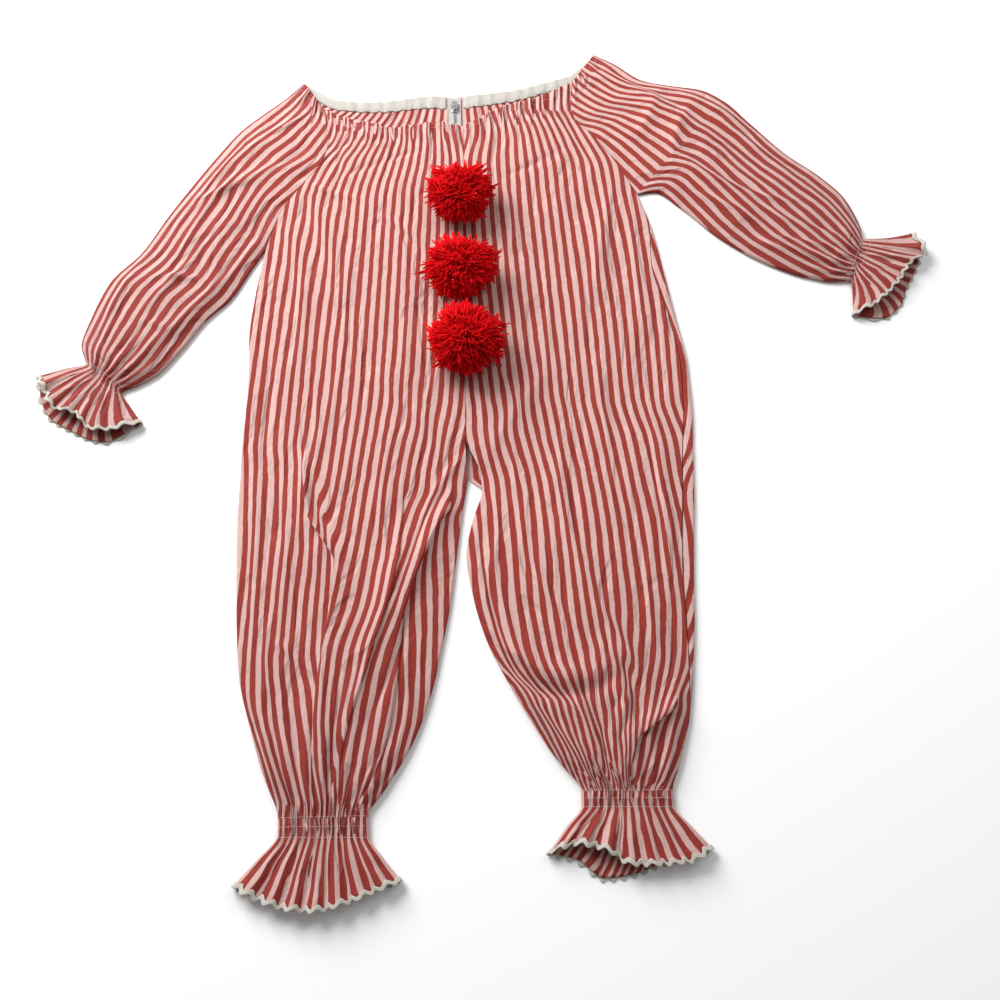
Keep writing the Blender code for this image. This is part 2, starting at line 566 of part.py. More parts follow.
def make_sleeves(cloth):
    def gathered(column, row):
        between_edges = EDGE_STOPS - 0.5 < column < EDGE_STOPS + SLEEVE_TOP_COLUMNS - 0.5
        return between_edges and (row < 1.1 or row > 10.5)
    for side in ("left", "right"):
        bm = cloth_grid(SLEEVE_ALL, SLEEVE_ROWS, gathered, GATHER_CUTS)
        sewn("sleeve_" + side, bm, partial(sleeve_point, side), WALL, cloth)


def make_neck_casing(casing):
    """White casing inside the back neck, from the crease of each sleeve to the zip."""
    finer = BACK_GATHER_CUTS + 1
    below, inner = SLEEVE_ALL - EDGE_STOPS - SLEEVE_UNDER_COLUMNS, SLEEVE_ALL - EDGE_STOPS
    for side in ("left", "right"):
        sleeve, back = partial(sleeve_point, side), partial(back_point, side)
        path = [(sleeve, below + CASING_START), (sleeve, (below + inner) / 2), (sleeve, inner)]
        path += [(back, LAP_STOPS + k / finer) for k in range(BACK_COLUMNS * finer)]

        def point(steps, rows):
            places = np.zeros((len(rows), 3))
            for k, (surface, column) in enumerate(path[round(step)] for step in steps):
                places[k] = surface(np.array([column]), rows[k:k + 1])[0]
            places[:, 2] += WALL / 2 + SEAM_GAP + CASING_WALL / 2 + CASING_EASE
            return places
        sewn("neck_casing_" + side, cloth_grid(len(path) - 1, (0, CASING_DROP)), point,
             CASING_WALL, casing)


def make_zip(tape, metal):
    """Tapes inside the centre back, slider at the top, and a tab that hinges on the slider."""
    height = WALL + SEAM_GAP + TAPE_WALL / 2
    for side, hand in (("left", -1), ("right", 1)):
        def point(columns, rows):
            line = line_at([CENTRE_BACK], rows)
            x = line[:, 0] + hand * (SEAM_GAP / 2 + columns * TAPE_WIDTH)
            return np.column_stack([x, line[:, 1], np.full_like(x, height)])
        bm = cloth_grid(1, TAPE_ROWS)
        sewn("zip_tape_" + side, bm, point, TAPE_WALL, tape)

    floor = WALL + TAPE_WALL + 2 * SEAM_GAP
    bm = bmesh.new()
    block = bmesh.ops.create_cube(bm, size=1)["verts"]
    bmesh.ops.scale(bm, vec=SLIDER_SIZE, verts=block)
    bmesh.ops.translate(bm, vec=(0, 0, floor + SLIDER_SIZE[2] / 2), verts=block)
    bmesh.ops.bevel(bm, geom=bm.edges[:], offset=SLIDER_ROUNDING, segments=2, affect="EDGES", profile=0.5,
                    material=-1)
    slider = finish(bm, "zip_slider", metal)
    bridge_height = floor + SLIDER_SIZE[2] + BRIDGE_SIZE[2] / 2 - BRIDGE_SINK
    bridge = cutter("bridge", BRIDGE_SIZE, bridge_height)
    hole = cutter("bridge_hole", (BRIDGE_SIZE[0] * 2, *BRIDGE_HOLE), bridge_height)
    for tool, operation in ((bridge, "UNION"), (hole, "DIFFERENCE")):
        join = slider.modifiers.new(tool.name, "BOOLEAN")
        join.object = tool
        join.operation = operation
    pivot = (SLIDER_AT[0] * MM, SLIDER_AT[1] * MM, bridge_height * MM)
    bm = bmesh.new()
    plate = bmesh.ops.create_cube(bm, size=1)["verts"]
    bmesh.ops.scale(bm, vec=TAB_SIZE, verts=plate)
    bmesh.ops.bevel(bm, geom=[e for e in bm.edges if abs(e.verts[0].co.z - e.verts[1].co.z) > 0.1],
                    offset=TAB_ROUNDING, segments=3, affect="EDGES", profile=0.5, material=-1)
    bmesh.ops.translate(bm, vec=(0, TAB_SIZE[1] / 2 - TAB_SIZE[2] / 2, 0), verts=bm.verts[:])
    tab = finish(bm, "zip_pull", metal)
    window = cutter("tab_window", (*TAB_WINDOW, TAB_SIZE[2] * 2), 0)
    window.location.y = TAB_SIZE[2] / 2 + TAB_WINDOW[1] / 2
    cut = tab.modifiers.new("window", "BOOLEAN")
    cut.object = window
    cut.operation = "DIFFERENCE"
    window.parent = tab
    tab.rotation_euler.x = TAB_SLOPE
    tab.location = pivot
    for piece in (bridge, hole):
        piece.parent = slider
    slider.location = (SLIDER_AT[0] * MM, SLIDER_AT[1] * MM, 0)
    for piece in (slider, tab):
        piece.scale = (MM, MM, MM)


def cutter(name, size, height):
    """A box that only shapes another piece."""
    bm = bmesh.new()
    corners = bmesh.ops.create_cube(bm, size=1)["verts"]
    bmesh.ops.scale(bm, vec=size, verts=corners)
    mesh = bpy.data.meshes.new(name)
    bm.to_mesh(mesh)
    bm.free()
    box = bpy.data.objects.new(name, mesh)
    bpy.context.collection.objects.link(box)
    box.location.z = height
    box.hide_render = True
    box.display_type = "WIRE"
    return box


def braid_strip(name, path, row_length, hem_row, braid):
    """One length of rick-rack. Its path lists surface, which way is out of the garment, column and
    wave: the wave swings the braid past the hem and back."""
    out = WALL / 2 + TRIM_EASE + TRIM_WALL / 2
    bm = cloth_grid(len(path) - 1, (0, 1))

    def point(columns, edges):
        places = np.zeros((len(columns), 3))
        for k, (step, edge) in enumerate(zip(columns, edges)):
            surface, outward, column, wave = path[round(step)]
            swing = TRIM_SWING * wave + (edge - 0.5) * TRIM_WIDTH
            row = np.array([hem_row + swing / row_length])
            places[k] = off_surface(surface, np.array([column]), row, [outward * out])[0]
        places[:, 2] = np.maximum(places[:, 2], TRIM_WALL / 2)
        return places
    sewn(name, bm, point, TRIM_WALL, braid)


def plain(surface, outward, columns):
    """Stretch of a braid's path that doesn't swing."""
    return [(surface, outward, column, 0) for column in columns]


def waves(surface, outward, first, last, count):
    """Stretch of a braid's path that swings past the hem and back by turns."""
    return [(surface, outward, first + (last - first) * k / (2 * count), 1 if k % 2 else -1)
            for k in range(1, 2 * count)]


def make_trims(braid):
    """Rick-rack round each ruffle's edge, in one length that starts and ends at the inner seam."""
    crease = EDGE_STOPS + SLEEVE_TOP_COLUMNS
    below, inner = crease + SLEEVE_TURN_COLUMNS, SLEEVE_ALL - EDGE_STOPS
    front_inner, back_inner = FRONT_ALL - EDGE_STOPS, BACK_ALL - EDGE_STOPS
    for side, hand in (("left", 1), ("right", -1)):
        front, back = partial(front_point, side), partial(back_point, side)
        path = (plain(front, hand, (FRONT_ALL - SEAM_STEP, FRONT_ALL - 1, front_inner))
                + waves(front, hand, front_inner, EDGE_STOPS, FRONT_COLUMNS)
                + plain(front, hand, (EDGE_STOPS, 1, SEAM_STEP))
                + plain(back, -hand, range(1, LAP_STOPS + 1))
                + waves(back, -hand, LAP_STOPS, back_inner, UNDER_WAVES["hem"])
                + plain(back, -hand, (back_inner, BACK_ALL - 1, BACK_ALL - SEAM_STEP)))
        braid_strip("hem_trim_" + side, path, HEM_ROW_LENGTH, HEM_ROW, braid)

        sleeve = partial(sleeve_point, side)
        path = (plain(sleeve, -hand, (SEAM_STEP, 1, EDGE_STOPS))
                + waves(sleeve, -hand, EDGE_STOPS, crease, SLEEVE_TOP_COLUMNS)
                + plain(sleeve, -hand, range(crease, below + 1))
                + waves(sleeve, -hand, below, inner, UNDER_WAVES["cuff"])
                + plain(sleeve, -hand, (inner, SLEEVE_ALL - 1, SLEEVE_ALL - SEAM_STEP)))
        braid_strip("cuff_trim_" + side, path, CUFF_ROW_LENGTH, CUFF_ROW, braid)


def make_pompoms(yarn):
    """Yarn pompoms: a small core with a tapered lock drawn out of each of its faces."""
    for name, x, y, radius, half_height in POMPOMS:
        bm = bmesh.new()
        bmesh.ops.create_icosphere(bm, subdivisions=2, radius=CORE_SHARE)
        for vert in bm.verts:
            vert.co.z = max(vert.co.z, -CORE_FLAT)
        drawn = [face for face in bm.faces if face.normal.z > -0.75]
        tips = bmesh.ops.extrude_discrete_faces(bm, faces=drawn)["faces"]
        for number, face in enumerate(tips):
            centre = face.calc_center_median()
            ray = centre.normalized()
            swirl = math.sin(number * 2.4) * LOCK_SWIRL
            reach = LOCK_REACH + (1 - LOCK_REACH) * math.sin(number * 1.7)
            for vert in face.verts:
                vert.co = ray * reach + (vert.co - centre) * LOCK_TAPER
                vert.co.x += swirl * ray.y
                vert.co.y -= swirl * ray.x
                vert.co.z = max(vert.co.z - LOCK_SAG * (1 - abs(ray.z)), -LOCK_REACH)
        for vert in bm.verts:
            vert.co.x = (x + vert.co.x * radius) * MM
            vert.co.y = (y + vert.co.y * radius) * MM
            vert.co.z = (POMPOM_REST + half_height * (LOCK_REACH + vert.co.z)) * MM
        finish(bm, name, yarn)


for old in list(bpy.data.objects):
    bpy.data.objects.remove(old)

striped_cloth = material("striped_cloth", (0.62, 0.12, 0.10), 0.85)
white_casing = material("white_casing", (0.78, 0.75, 0.70), 0.9)
zip_tape = material("zip_tape", (0.85, 0.84, 0.82), 0.8)
zip_metal = material("zip_metal", (0.55, 0.55, 0.56), 0.35, 1.0)
cream_braid = material("cream_braid", (0.72, 0.69, 0.62), 0.9)
red_yarn = material("red_yarn", (0.60, 0.01, 0.01), 0.95)

make_fronts(striped_cloth)
make_backs(striped_cloth)
make_sleeves(striped_cloth)
make_neck_casing(white_casing)
make_zip(zip_tape, zip_metal)
make_trims(cream_braid)
make_pompoms(red_yarn)
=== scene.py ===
"""Child's clown jumpsuit, laid flat on its back: cloth, sewing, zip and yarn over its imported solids.

Left and right are those of someone looking down on the front. Plan positions in the tables are
millimetres: +X right, +Y towards the neck, +Z up off the floor. A cloth piece starts as a flat grid,
rows from the neck to the hem and columns across, and each point is carried to its place.
"""
import math
import random
from functools import partial
from types import SimpleNamespace

import bmesh
import bpy
import numpy as np
from mathutils import Matrix, Vector


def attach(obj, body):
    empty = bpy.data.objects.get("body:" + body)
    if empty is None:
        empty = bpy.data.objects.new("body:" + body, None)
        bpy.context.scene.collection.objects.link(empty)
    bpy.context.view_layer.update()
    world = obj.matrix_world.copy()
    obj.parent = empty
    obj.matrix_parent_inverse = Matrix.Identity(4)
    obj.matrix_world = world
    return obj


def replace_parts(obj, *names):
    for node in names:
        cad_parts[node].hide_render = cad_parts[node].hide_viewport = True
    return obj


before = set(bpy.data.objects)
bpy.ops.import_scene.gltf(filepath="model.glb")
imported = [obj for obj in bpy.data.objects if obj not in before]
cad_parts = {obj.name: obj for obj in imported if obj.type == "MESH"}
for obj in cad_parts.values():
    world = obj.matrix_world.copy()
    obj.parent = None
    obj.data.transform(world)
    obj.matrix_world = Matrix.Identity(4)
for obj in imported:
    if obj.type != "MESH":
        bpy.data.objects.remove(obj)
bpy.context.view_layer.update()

# ---- Cloth -----------------------------------------------
# What the cloth pieces share. A piece is laid out between lines that are read off tables row by row.
# Its edges are folded or meet at seams, and its creases and gathers are added to its height.
MM = 0.001
STRIPE = 12.7  # one red and one white stripe
CLOTH = 0.7  # thickness of the cloth itself
WALL = 1.2  # thickness that a seam and a fold leave room for
SEAM_GAP = 0.3
FLAT_EASE, FOLD_EASE, CORNER_EASE = 0.05, 0.25, 0.25
UNDERARM_ROW, CROTCH_ROW, HEM_ROW = 5, 11, 22
FOLD_ROWS = 0.4
LAP_ROWS = 1.6
HEM_CLEAR = 1.5  # the braid lies under the hem
EDGE_STOPS, LAP_STOPS = 2, 4
EDGE_SOFTENING, SEAM_HOLD = 14.0, 0.3
NECK_BOW_ROWS, HEM_BOW_ROWS = 3.0, 2.0
HAND = {"left": 1, "right": -1}
STRIPE_ROW = 4  # stripes that a row of a sleeve counts as down its length
# Largest folds: x, y of three points on the line, reach to its left and right, height
FOLDS = (
    (-270, -50, -255, -200, -245, -330, 9, 9, 3.0),
    (-240, -60, -225, -200, -225, -330, 10, 10, 3.0),
    (-215, -60, -200, -150, -170, -215, 16, 9, 5.0),
    (-30, -115, -70, -185, -95, -265, 22, 9, 5.0),
    (-100, -180, -120, -285, -155, -385, 16, 11, 4.0),
    (-170, -300, -170, -375, -165, -445, 10, 10, 4.0),
    (-240, -350, -220, -395, -195, -450, 9, 9, 4.0),
    (5, -285, 70, -325, 130, -305, 24, 16, 5.5),
    (120, -300, 135, -345, 120, -390, 11, 16, 4.5),
    (195, -340, 170, -365, 145, -390, 14, 11, 4.5),
    (-15, -150, 10, -290, 95, -425, 9, 9, 3.5),
    (60, -60, 100, -220, 150, -320, 16, 12, 3.0),
    (180, 0, 190, -120, 190, -240, 10, 10, 3.0),
    (-130, 30, -85, -20, -45, -85, 12, 12, 3.0),
    (75, 45, 30, -10, -10, -80, 12, 12, 3.0),
    (-240, 300, -205, 220, -180, 115, 10, 10, 3.5),
    (-265, 250, -235, 160, -230, 45, 9, 9, 3.0),
    (150, 315, 135, 235, 115, 130, 10, 10, 3.5),
    (175, 290, 175, 205, 180, 100, 8, 8, 2.5),
    (-250, 435, -330, 360, -400, 250, 12, 12, 4.0),
    (-245, 350, -305, 330, -370, 290, 10, 10, 3.5),
    (-430, 205, -455, 140, -460, 75, 10, 10, 4.0),
    (-290, 230, -345, 145, -425, 45, 9, 9, 3.5),
    (150, 500, 245, 430, 300, 370, 14, 12, 5.0),
    (220, 385, 280, 320, 365, 250, 12, 10, 4.0),
    (230, 485, 300, 440, 350, 395, 12, 10, 4.5),
    (390, 320, 430, 270, 450, 230, 9, 9, 3.5),
    (320, 225, 370, 210, 420, 190, 9, 9, 3.5),
)
# Finer creases in the same columns, troughs with a height below nought
CREASES = (
    (-195, 330, -175, 342, -140, 350, 3, 6, -2.4), (-150, 352, -125, 364, -95, 372, 3, 5, -1.8),
    (-240, 320, -210, 305, -165, 290, 4, 4, 2.6), (-147, 264, -114, 245, -82, 202, 4, 6, 2.2),
    (15, 331, 47, 347, 92, 379, 4, 4, -2.2), (10, 315, 26, 265, 15, 200, 4, 6, 2.4),
    (34, 255, 36, 225, 28, 195, 3, 3, -1.4), (0, 45, 22, 5, 38, -40, 3, 6, 2.2),
    (20, -50, 24, -80, 26, -110, 3, 3, 1.9), (-60, 55, -75, 10, -80, -40, 4, 5, 1.6),
    (-226, -290, -210, -300, -199, -320, 3, 4, 2.6), (-238, -110, -232, -150, -224, -195, 3, 3, -1.8),
    (-185, -138, -190, -148, -180, -166, 3, 3, 2.2), (-88, -285, -90, -315, -84, -345, 3, 3, 2.2),
    (-74, -282, -75, -305, -72, -335, 3, 3, 1.8), (-262, -150, -262, -210, -256, -260, 3, 3, -1.6),
    (-130, -300, -140, -335, -150, -370, 4, 4, -2.0), (107, -250, 132, -280, 150, -325, 3, 5, 2.7),
    (-15, -205, -5, -215, -8, -245, 3, 3, 2.3), (60, -335, 90, -362, 105, -400, 3, 4, 2.3),
    (35, -345, 70, -385, 98, -420, 3, 3, 1.9), (130, -310, 136, -335, 120, -360, 3, 3, -2.2),
    (-150, -446, -150, -420, -142, -388, 3, 3, -2.2), (-185, -446, -195, -412, -206, -380, 3, 3, 2.3),
    (-130, -446, -118, -420, -105, -398, 3, 3, 2.3), (-172, -446, -178, -405, -180, -365, 3, 3, -1.8),
    (100, -425, 90, -400, 76, -380, 3, 3, 2.0), (116, -426, 111, -400, 112, -375, 3, 3, -2.0),
    (135, -430, 133, -405, 136, -380, 3, 3, 2.4), (150, -430, 156, -405, 166, -385, 3, 3, -2.2),
    (166, -430, 175, -400, 186, -370, 3, 3, 2.3), (-420, 168, -385, 169, -348, 162, 4, 5, 3.1),
    (-375, 288, -345, 303, -310, 322, 3, 4, 2.2), (-300, 396, -272, 416, -252, 430, 3, 4, 2.0),
    (-425, 106, -400, 99, -378, 90, 3, 4, 2.2), (-440, 60, -425, 85, -400, 118, 3, 3, -1.9),
    (215, 470, 205, 430, 185, 395, 9, 9, 3.8), (262, 452, 240, 402, 232, 358, 9, 9, 3.8),
    (345, 290, 355, 264, 378, 248, 4, 4, 2.4), (300, 345, 330, 318, 350, 290, 3, 5, 2.0),
    (430, 235, 405, 245, 380, 262, 3, 3, -1.9), (415, 215, 380, 222, 345, 232, 3, 4, 2.2),
    (-5, -290, 60, -342, 130, -325, 7, 11, -6.0), (125, -305, 142, -345, 125, -390, 4, 4, -3.0),
    (-205, -90, -190, -150, -165, -205, 5, 4, -4.0), (-95, -265, -100, -310, -125, -370, 4, 4, -3.0),
    (-220, -60, -212, -130, -215, -180, 3, 4, 3.0), (-235, -260, -232, -310, -220, -360, 4, 3, 3.0),
    (-255, -330, -240, -375, -215, -430, 4, 4, 3.0), (-120, -60, -125, -120, -118, -180, 4, 6, 2.2),
    (-180, 60, -186, 0, -192, -60, 4, 6, 2.0), (-210, 20, -200, -40, -203, -110, 3, 5, 2.4),
    (80, -40, 75, -110, 88, -190, 5, 5, 2.0), (120, 60, 128, -20, 130, -90, 5, 5, 1.8),
    (30, -140, 45, -210, 80, -270, 5, 6, 2.4), (170, -180, 165, -250, 178, -310, 4, 5, 2.4),
    (-170, 220, -178, 150, -172, 80, 5, 5, 2.0), (60, 180, 66, 110, 60, 30, 5, 5, 1.9),
    (-100, 130, -104, 70, -98, 10, 5, 5, 1.6), (-20, -60, -60, -110, -78, -160, 4, 5, 3.0),
    (0, -120, 6, -160, 0, -205, 4, 4, 2.7), (-330, 330, -365, 270, -385, 205, 5, 6, 3.2),
    (-300, 420, -345, 350, -375, 275, 4, 5, 2.4), (-350, 230, -390, 165, -420, 120, 5, 5, 3.0),
    (150, 520, 190, 480, 240, 450, 4, 5, 3.2), (260, 300, 310, 270, 360, 225, 5, 5, 3.0),
    (300, 420, 345, 375, 385, 330, 5, 5, 3.0), (250, 350, 320, 300, 385, 285, 4, 5, 2.7),
    (-14, -165, 0, -250, 28, -330, 4, 4, -4.0), (-4, -160, 12, -250, 44, -335, 3, 4, 3.0),
    (175, -30, 182, -120, 180, -210, 3, 4, -2.0), (-262, 60, -262, -20, -258, -90, 3, 4, -2.0),
    (-48, -100, -85, -180, -100, -250, 4, 4, -2.5), (-150, -330, -158, -385, -160, -440, 3, 4, -2.5),
    (80, -330, 105, -370, 118, -420, 3, 4, -2.6), (-208, 395, -200, 340, -212, 290, 4, 5, -2.0),
    (95, 420, 112, 385, 128, 350, 4, 4, -2.0),
)
FOLD_STEPS = 12
FOLD_END = 0.1  # share of a half wave by which a fold starts and ends short
FOLD_CREST = 1.5  # 2 is a round crest, 1 a knife edge
FOLD_TAKES, FOLD_PULL = 0.9, 1.7  # cloth a fold takes up for its height, and its reach in fold widths
LEAST_GATHER, GATHER_WAVES = 0.8, 5.1
# Unevenness of the finer gathers: how far their spacing wanders across and down, their least height,
# how far the cloth between them drifts sideways, and the share of the width at which they fade
WANDER, WANDER_WAVES, WANDER_DOWN, WANDER_ROWS = 0.35, 1.7, 0.12, 5
LEAST_PUCKER, PUCKER_WAVES = 0.6, 2.3
DRIFT_NEAR, DRIFT_FAR, DRIFT_WAVES = 0.7, 0.9, 1.9
PUCKER_ENDS = 1 / 12


def smooth(values, rows):
    """Values of a table column at fractional rows, on a curve that never overshoots its rows."""
    values = np.asarray(values, float)
    steps = np.diff(values)
    same_way = steps[:-1] * steps[1:]
    total = np.where(same_way > 0, steps[:-1] + steps[1:], 1.0)
    inner = np.where(same_way > 0, 2 * same_way / total, 0.0)
    slopes = np.concatenate([steps[:1], inner, steps[-1:]])
    low = np.clip(np.floor(rows).astype(int), 0, len(values) - 2)
    t = rows - low
    start, end = values[low], values[low + 1]
    curve = (start * (1 + 2 * t) * (1 - t) ** 2 + end * t * t * (3 - 2 * t)
             + slopes[low] * t * (1 - t) ** 2 - slopes[low + 1] * t * t * (1 - t))
    past_end = values[-1] + slopes[-1] * (rows - len(values) + 1)
    return np.where(rows > len(values) - 1, past_end, curve)


def ease(share):
    """0 to 1 with soft ends."""
    share = np.clip(share, 0, 1)
    return share * share * (3 - 2 * share)


def columns_at(table, rows):
    """Each column of a table at fractional rows."""
    return [smooth(column, rows) for column in zip(*table)]


def line_at(stretches, rows):
    """Plan positions on a line made of stretches that meet at corners, one point a row."""
    first = 0
    line = np.zeros((2, len(rows)))
    for points in stretches:
        line = np.where(rows >= first, columns_at(points, np.maximum(rows - first, 0)), line)
        first += len(points) - 1
    return line.T


def section_at(sections, rows):
    """The columns of a section table, the last row's past its end."""
    return columns_at(sections, np.minimum(rows, len(sections) - 1))


def round_the_fold(way, radius):
    """How far in from a fold, and how far off the flat, cloth lies after a way along it."""
    turn = math.pi * radius
    angle = np.clip(way, 0, turn) / radius
    inward = radius * (1 - np.sin(angle)) - np.minimum(way, 0) + np.maximum(way - turn, 0)
    return inward, radius * (1 + np.cos(angle))


def from_seam(distance, radius, fold, lap):
    """The same at a distance from a seam half way round the fold, or further by the lap."""
    inward, lift = round_the_fold(distance + radius * math.pi / 2 + lap, radius)
    return (1 - fold) * distance + fold * inward, fold * lift


def taken_up(radius, fold, lap):
    """Plan width less cloth width that a seam's fold accounts for."""
    return fold * (radius * (1 - math.pi / 2) + lap)


def turned(rows, first_row):
    """Share of a fold at a seam that lies flat down to its first row."""
    return ease((rows - first_row) / FOLD_ROWS)


def seam_gap(rows, first_row):
    """Half the gap at a seam."""
    corner = np.clip(1 - np.abs(rows - first_row), 0, 1)
    return SEAM_GAP / 2 + FLAT_EASE + turned(rows, first_row) * FOLD_EASE + corner * CORNER_EASE


def held_by_seam(distance, fold):
    """Share of the relief at a distance from a seam."""
    at_seam = SEAM_HOLD * (1 - fold)
    return at_seam + (1 - at_seam) * ease(distance / EDGE_SOFTENING)


def between(start, end, count):
    """Even stops between two, without them."""
    return [start + (end - start) * k / count for k in range(1, count)]


def edge_stops(gap, radius):
    """Cloth distances of the columns that take a quarter turn."""
    return [gap + k / EDGE_STOPS * radius * math.pi / 2 for k in range(EDGE_STOPS + 1)]


def step_through(stops, columns):
    """Cloth distance at fractional columns, given the distance at each whole one."""
    stops = np.stack(stops)
    low = np.clip(np.floor(columns).astype(int), 0, len(stops) - 2)
    share = columns - low
    pick = np.arange(len(columns))
    return stops[low, pick] * (1 - share) + stops[low + 1, pick] * share


def bowed(plan, outer, inner, hand, share, rows, neck, hem, hem_row):
    """Moves points out past the straight section lines, to the neck's and the hem's own curves."""
    along = (inner - outer) / np.linalg.norm(inner - outer, axis=1)[:, None]
    down = hand * np.stack([along[:, 1], -along[:, 0]], axis=-1)
    steps = share * (len(hem) - 1)
    reach = smooth(hem, steps) * ease(1 - (hem_row - rows) / HEM_BOW_ROWS)
    if neck:
        reach = reach + smooth(neck, steps) * ease(1 - rows / NECK_BOW_ROWS)
    return plan + down * reach[:, None]


def near_line(x, y, points):
    """For each plan point: distance to a curved line, share of the way along it, which side, and the way
    out from it in x and y."""
    x0, y0, x1, y1, x2, y2 = points
    nearest = np.full_like(x, 1e9)
    along = np.zeros_like(x)
    left = np.zeros(len(x), bool)
    out_x, out_y = np.zeros_like(x), np.zeros_like(y)
    ts = [k / FOLD_STEPS for k in range(FOLD_STEPS + 1)]
    px = [x0 * (1 - t) ** 2 + 2 * (2 * x1 - (x0 + x2) / 2) * t * (1 - t) + x2 * t * t for t in ts]
    py = [y0 * (1 - t) ** 2 + 2 * (2 * y1 - (y0 + y2) / 2) * t * (1 - t) + y2 * t * t for t in ts]
    for k in range(FOLD_STEPS):
        dx, dy = px[k + 1] - px[k], py[k + 1] - py[k]
        t = np.clip(((x - px[k]) * dx + (y - py[k]) * dy) / (dx * dx + dy * dy), 0, 1)
        off_x, off_y = x - px[k] - dx * t, y - py[k] - dy * t
        gap = np.hypot(off_x, off_y)
        closer = gap < nearest
        nearest = np.where(closer, gap, nearest)
        along = np.where(closer, (k + t) / FOLD_STEPS, along)
        left = np.where(closer, (x - px[k]) * dy - (y - py[k]) * dx > 0, left)
        out_x, out_y = np.where(closer, off_x, out_x), np.where(closer, off_y, out_y)
    return nearest, along, left, out_x, out_y


def folds_at(x, y, folds):
    """Height of the folds at plan points, and how far in x and y they draw the cloth in."""
    height, drawn_x, drawn_y = np.zeros_like(x), np.zeros_like(x), np.zeros_like(x)
    for *points, reach_left, reach_right, rise in folds:
        gap, along, left, out_x, out_y = near_line(x, y, points)
        reach = np.where(left, reach_left, reach_right)
        fade = np.sin(math.pi * (FOLD_END + (1 - 2 * FOLD_END) * along))
        height += rise * fade * np.exp(-(gap / reach) ** FOLD_CREST)
        drawn = FOLD_TAKES * abs(rise) * fade * np.exp(-(gap / (FOLD_PULL * reach)) ** 2) / reach
        drawn_x += drawn * out_x
        drawn_y += drawn * out_y
    return height, drawn_x, drawn_y


def fading(rows, row, before, after):
    """1 at one row, down to 0 over the rows before and after it."""
    return ease(1 - np.where(rows < row, (row - rows) / before, (rows - row) / after))


def gathers_at(gathers, across, rows):
    """Height of the gathers at a share of the way across a piece and a row."""
    height = np.zeros_like(rows)
    inside = np.clip(across, 0, 1)
    for row, before, after, waves, rise in gathers:
        fade = fading(rows, row, before, after)
        uneven = LEAST_GATHER + (1 - LEAST_GATHER) * np.cos(GATHER_WAVES * across + row)
        height += rise * uneven * fade * (0.5 - 0.5 * np.cos(2 * math.pi * waves * inside))
    return height


def puckers_at(gathers, across, rows):
    """Height of finer ones, sharp at the top and as uneven as cloth on a thread, and the cloth's drift."""
    height, drift = np.zeros_like(rows), np.zeros_like(rows)
    for row, before, after, waves, rise in gathers:
        swing = across * waves + WANDER * np.sin(across * waves * WANDER_WAVES + row)
        swing += WANDER_DOWN * np.sin(rows * WANDER_ROWS + waves)
        tall = LEAST_PUCKER + (1 - LEAST_PUCKER) * np.sin(across * waves * PUCKER_WAVES + 2 * row)
        tall *= rise * fading(rows, row, before, after)
        height += tall * (1 - np.abs(np.sin(math.pi * swing)))
        drift += tall * (DRIFT_NEAR * np.sin(2 * math.pi * swing)
                         + DRIFT_FAR * np.sin(DRIFT_WAVES * swing + row))
    inside = ease(across / PUCKER_ENDS) * ease((1 - across) / PUCKER_ENDS)
    return height * inside, drift * inside


def limp(x, y, rise):
    """Soft unevenness of cloth that lies loose. The wave lengths are in millimetres."""
    return rise * (np.sin(x / 19 + 1.3 * np.sin(y / 31)) * np.sin(y / 27 + 1.1 * np.sin(x / 37))
                   + 0.5 * np.sin(x / 9 + y / 14) * np.sin(y / 11 - x / 23))


def by_rows(table, rows):
    """The columns of a table whose first entry is the row, at fractional rows."""
    rows = np.clip(rows, table[0][0], table[-1][0])
    step = np.interp(rows, [r[0] for r in table], range(len(table)))
    return columns_at([r[1:] for r in table], step)


def down_the_leg(table, y):
    """The same for a table whose first entry is a y that falls from row to row."""
    return by_rows([(-row[0], *row[1:]) for row in table], -y)


def spread(shares, steps):
    """Places of evenly numbered grid lines on stretches of (from, to, how many steps)."""
    ends = np.cumsum([0] + [count for _, _, count in steps])
    return np.interp(shares * ends[-1], ends, [steps[0][0]] + [last for _, last, _ in steps])


def sewn(name, cloth, column_steps, row_steps, thickness, surface, pleats=None):
    """A grid carried to its place on the garment, with its stripe count as its UV map, and a wall."""
    bm = bmesh.new()
    bmesh.ops.create_grid(bm, x_segments=sum(s[2] for s in column_steps),
                          y_segments=sum(s[2] for s in row_steps), size=0.5)
    flat = np.array([v.co for v in bm.verts], float) + 0.5
    columns, rows = spread(flat[:, 0], column_steps), spread(flat[:, 1], row_steps)
    between_edges = (columns - EDGE_STOPS) / FRONT_COLUMNS
    if pleats:
        moved = EDGE_STOPS + FRONT_COLUMNS * pleated(pleats, between_edges, rows)
        columns = np.where((between_edges > 0) & (between_edges < 1), moved, columns)
    places, counts = cloth(columns, rows)
    for vert, place in zip(bm.verts, places * MM):
        vert.co = place
    piece = finished(bm, name, surface)
    if pleats:
        step = 1 / FRONT_STEPS[1][2]
        parts = np.sum([between_edges > pleat[0] + step / 2 for pleat in PLEATS[pleats]], axis=0)
        parts = np.where(rows > RUFFLE_FROM, len(counts) - 1, parts)
        follow(piece, counts, parts)
    else:
        follow(piece, [counts])
    wall = piece.modifiers.new("wall", "SOLIDIFY")
    wall.thickness = thickness * MM
    wall.offset = 0
    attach(piece, "suit")
    return piece


def both_sides(name, cloth, *making, stands_for):
    """Sews a piece on each side in the place of its solid."""
    for side in HAND:
        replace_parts(sewn(name + "_" + side, partial(cloth, side), *making), stands_for + "_" + side)


def placed(name, data):
    """A new object in the scene."""
    thing = bpy.data.objects.new(name, data)
    bpy.context.collection.objects.link(thing)
    return thing


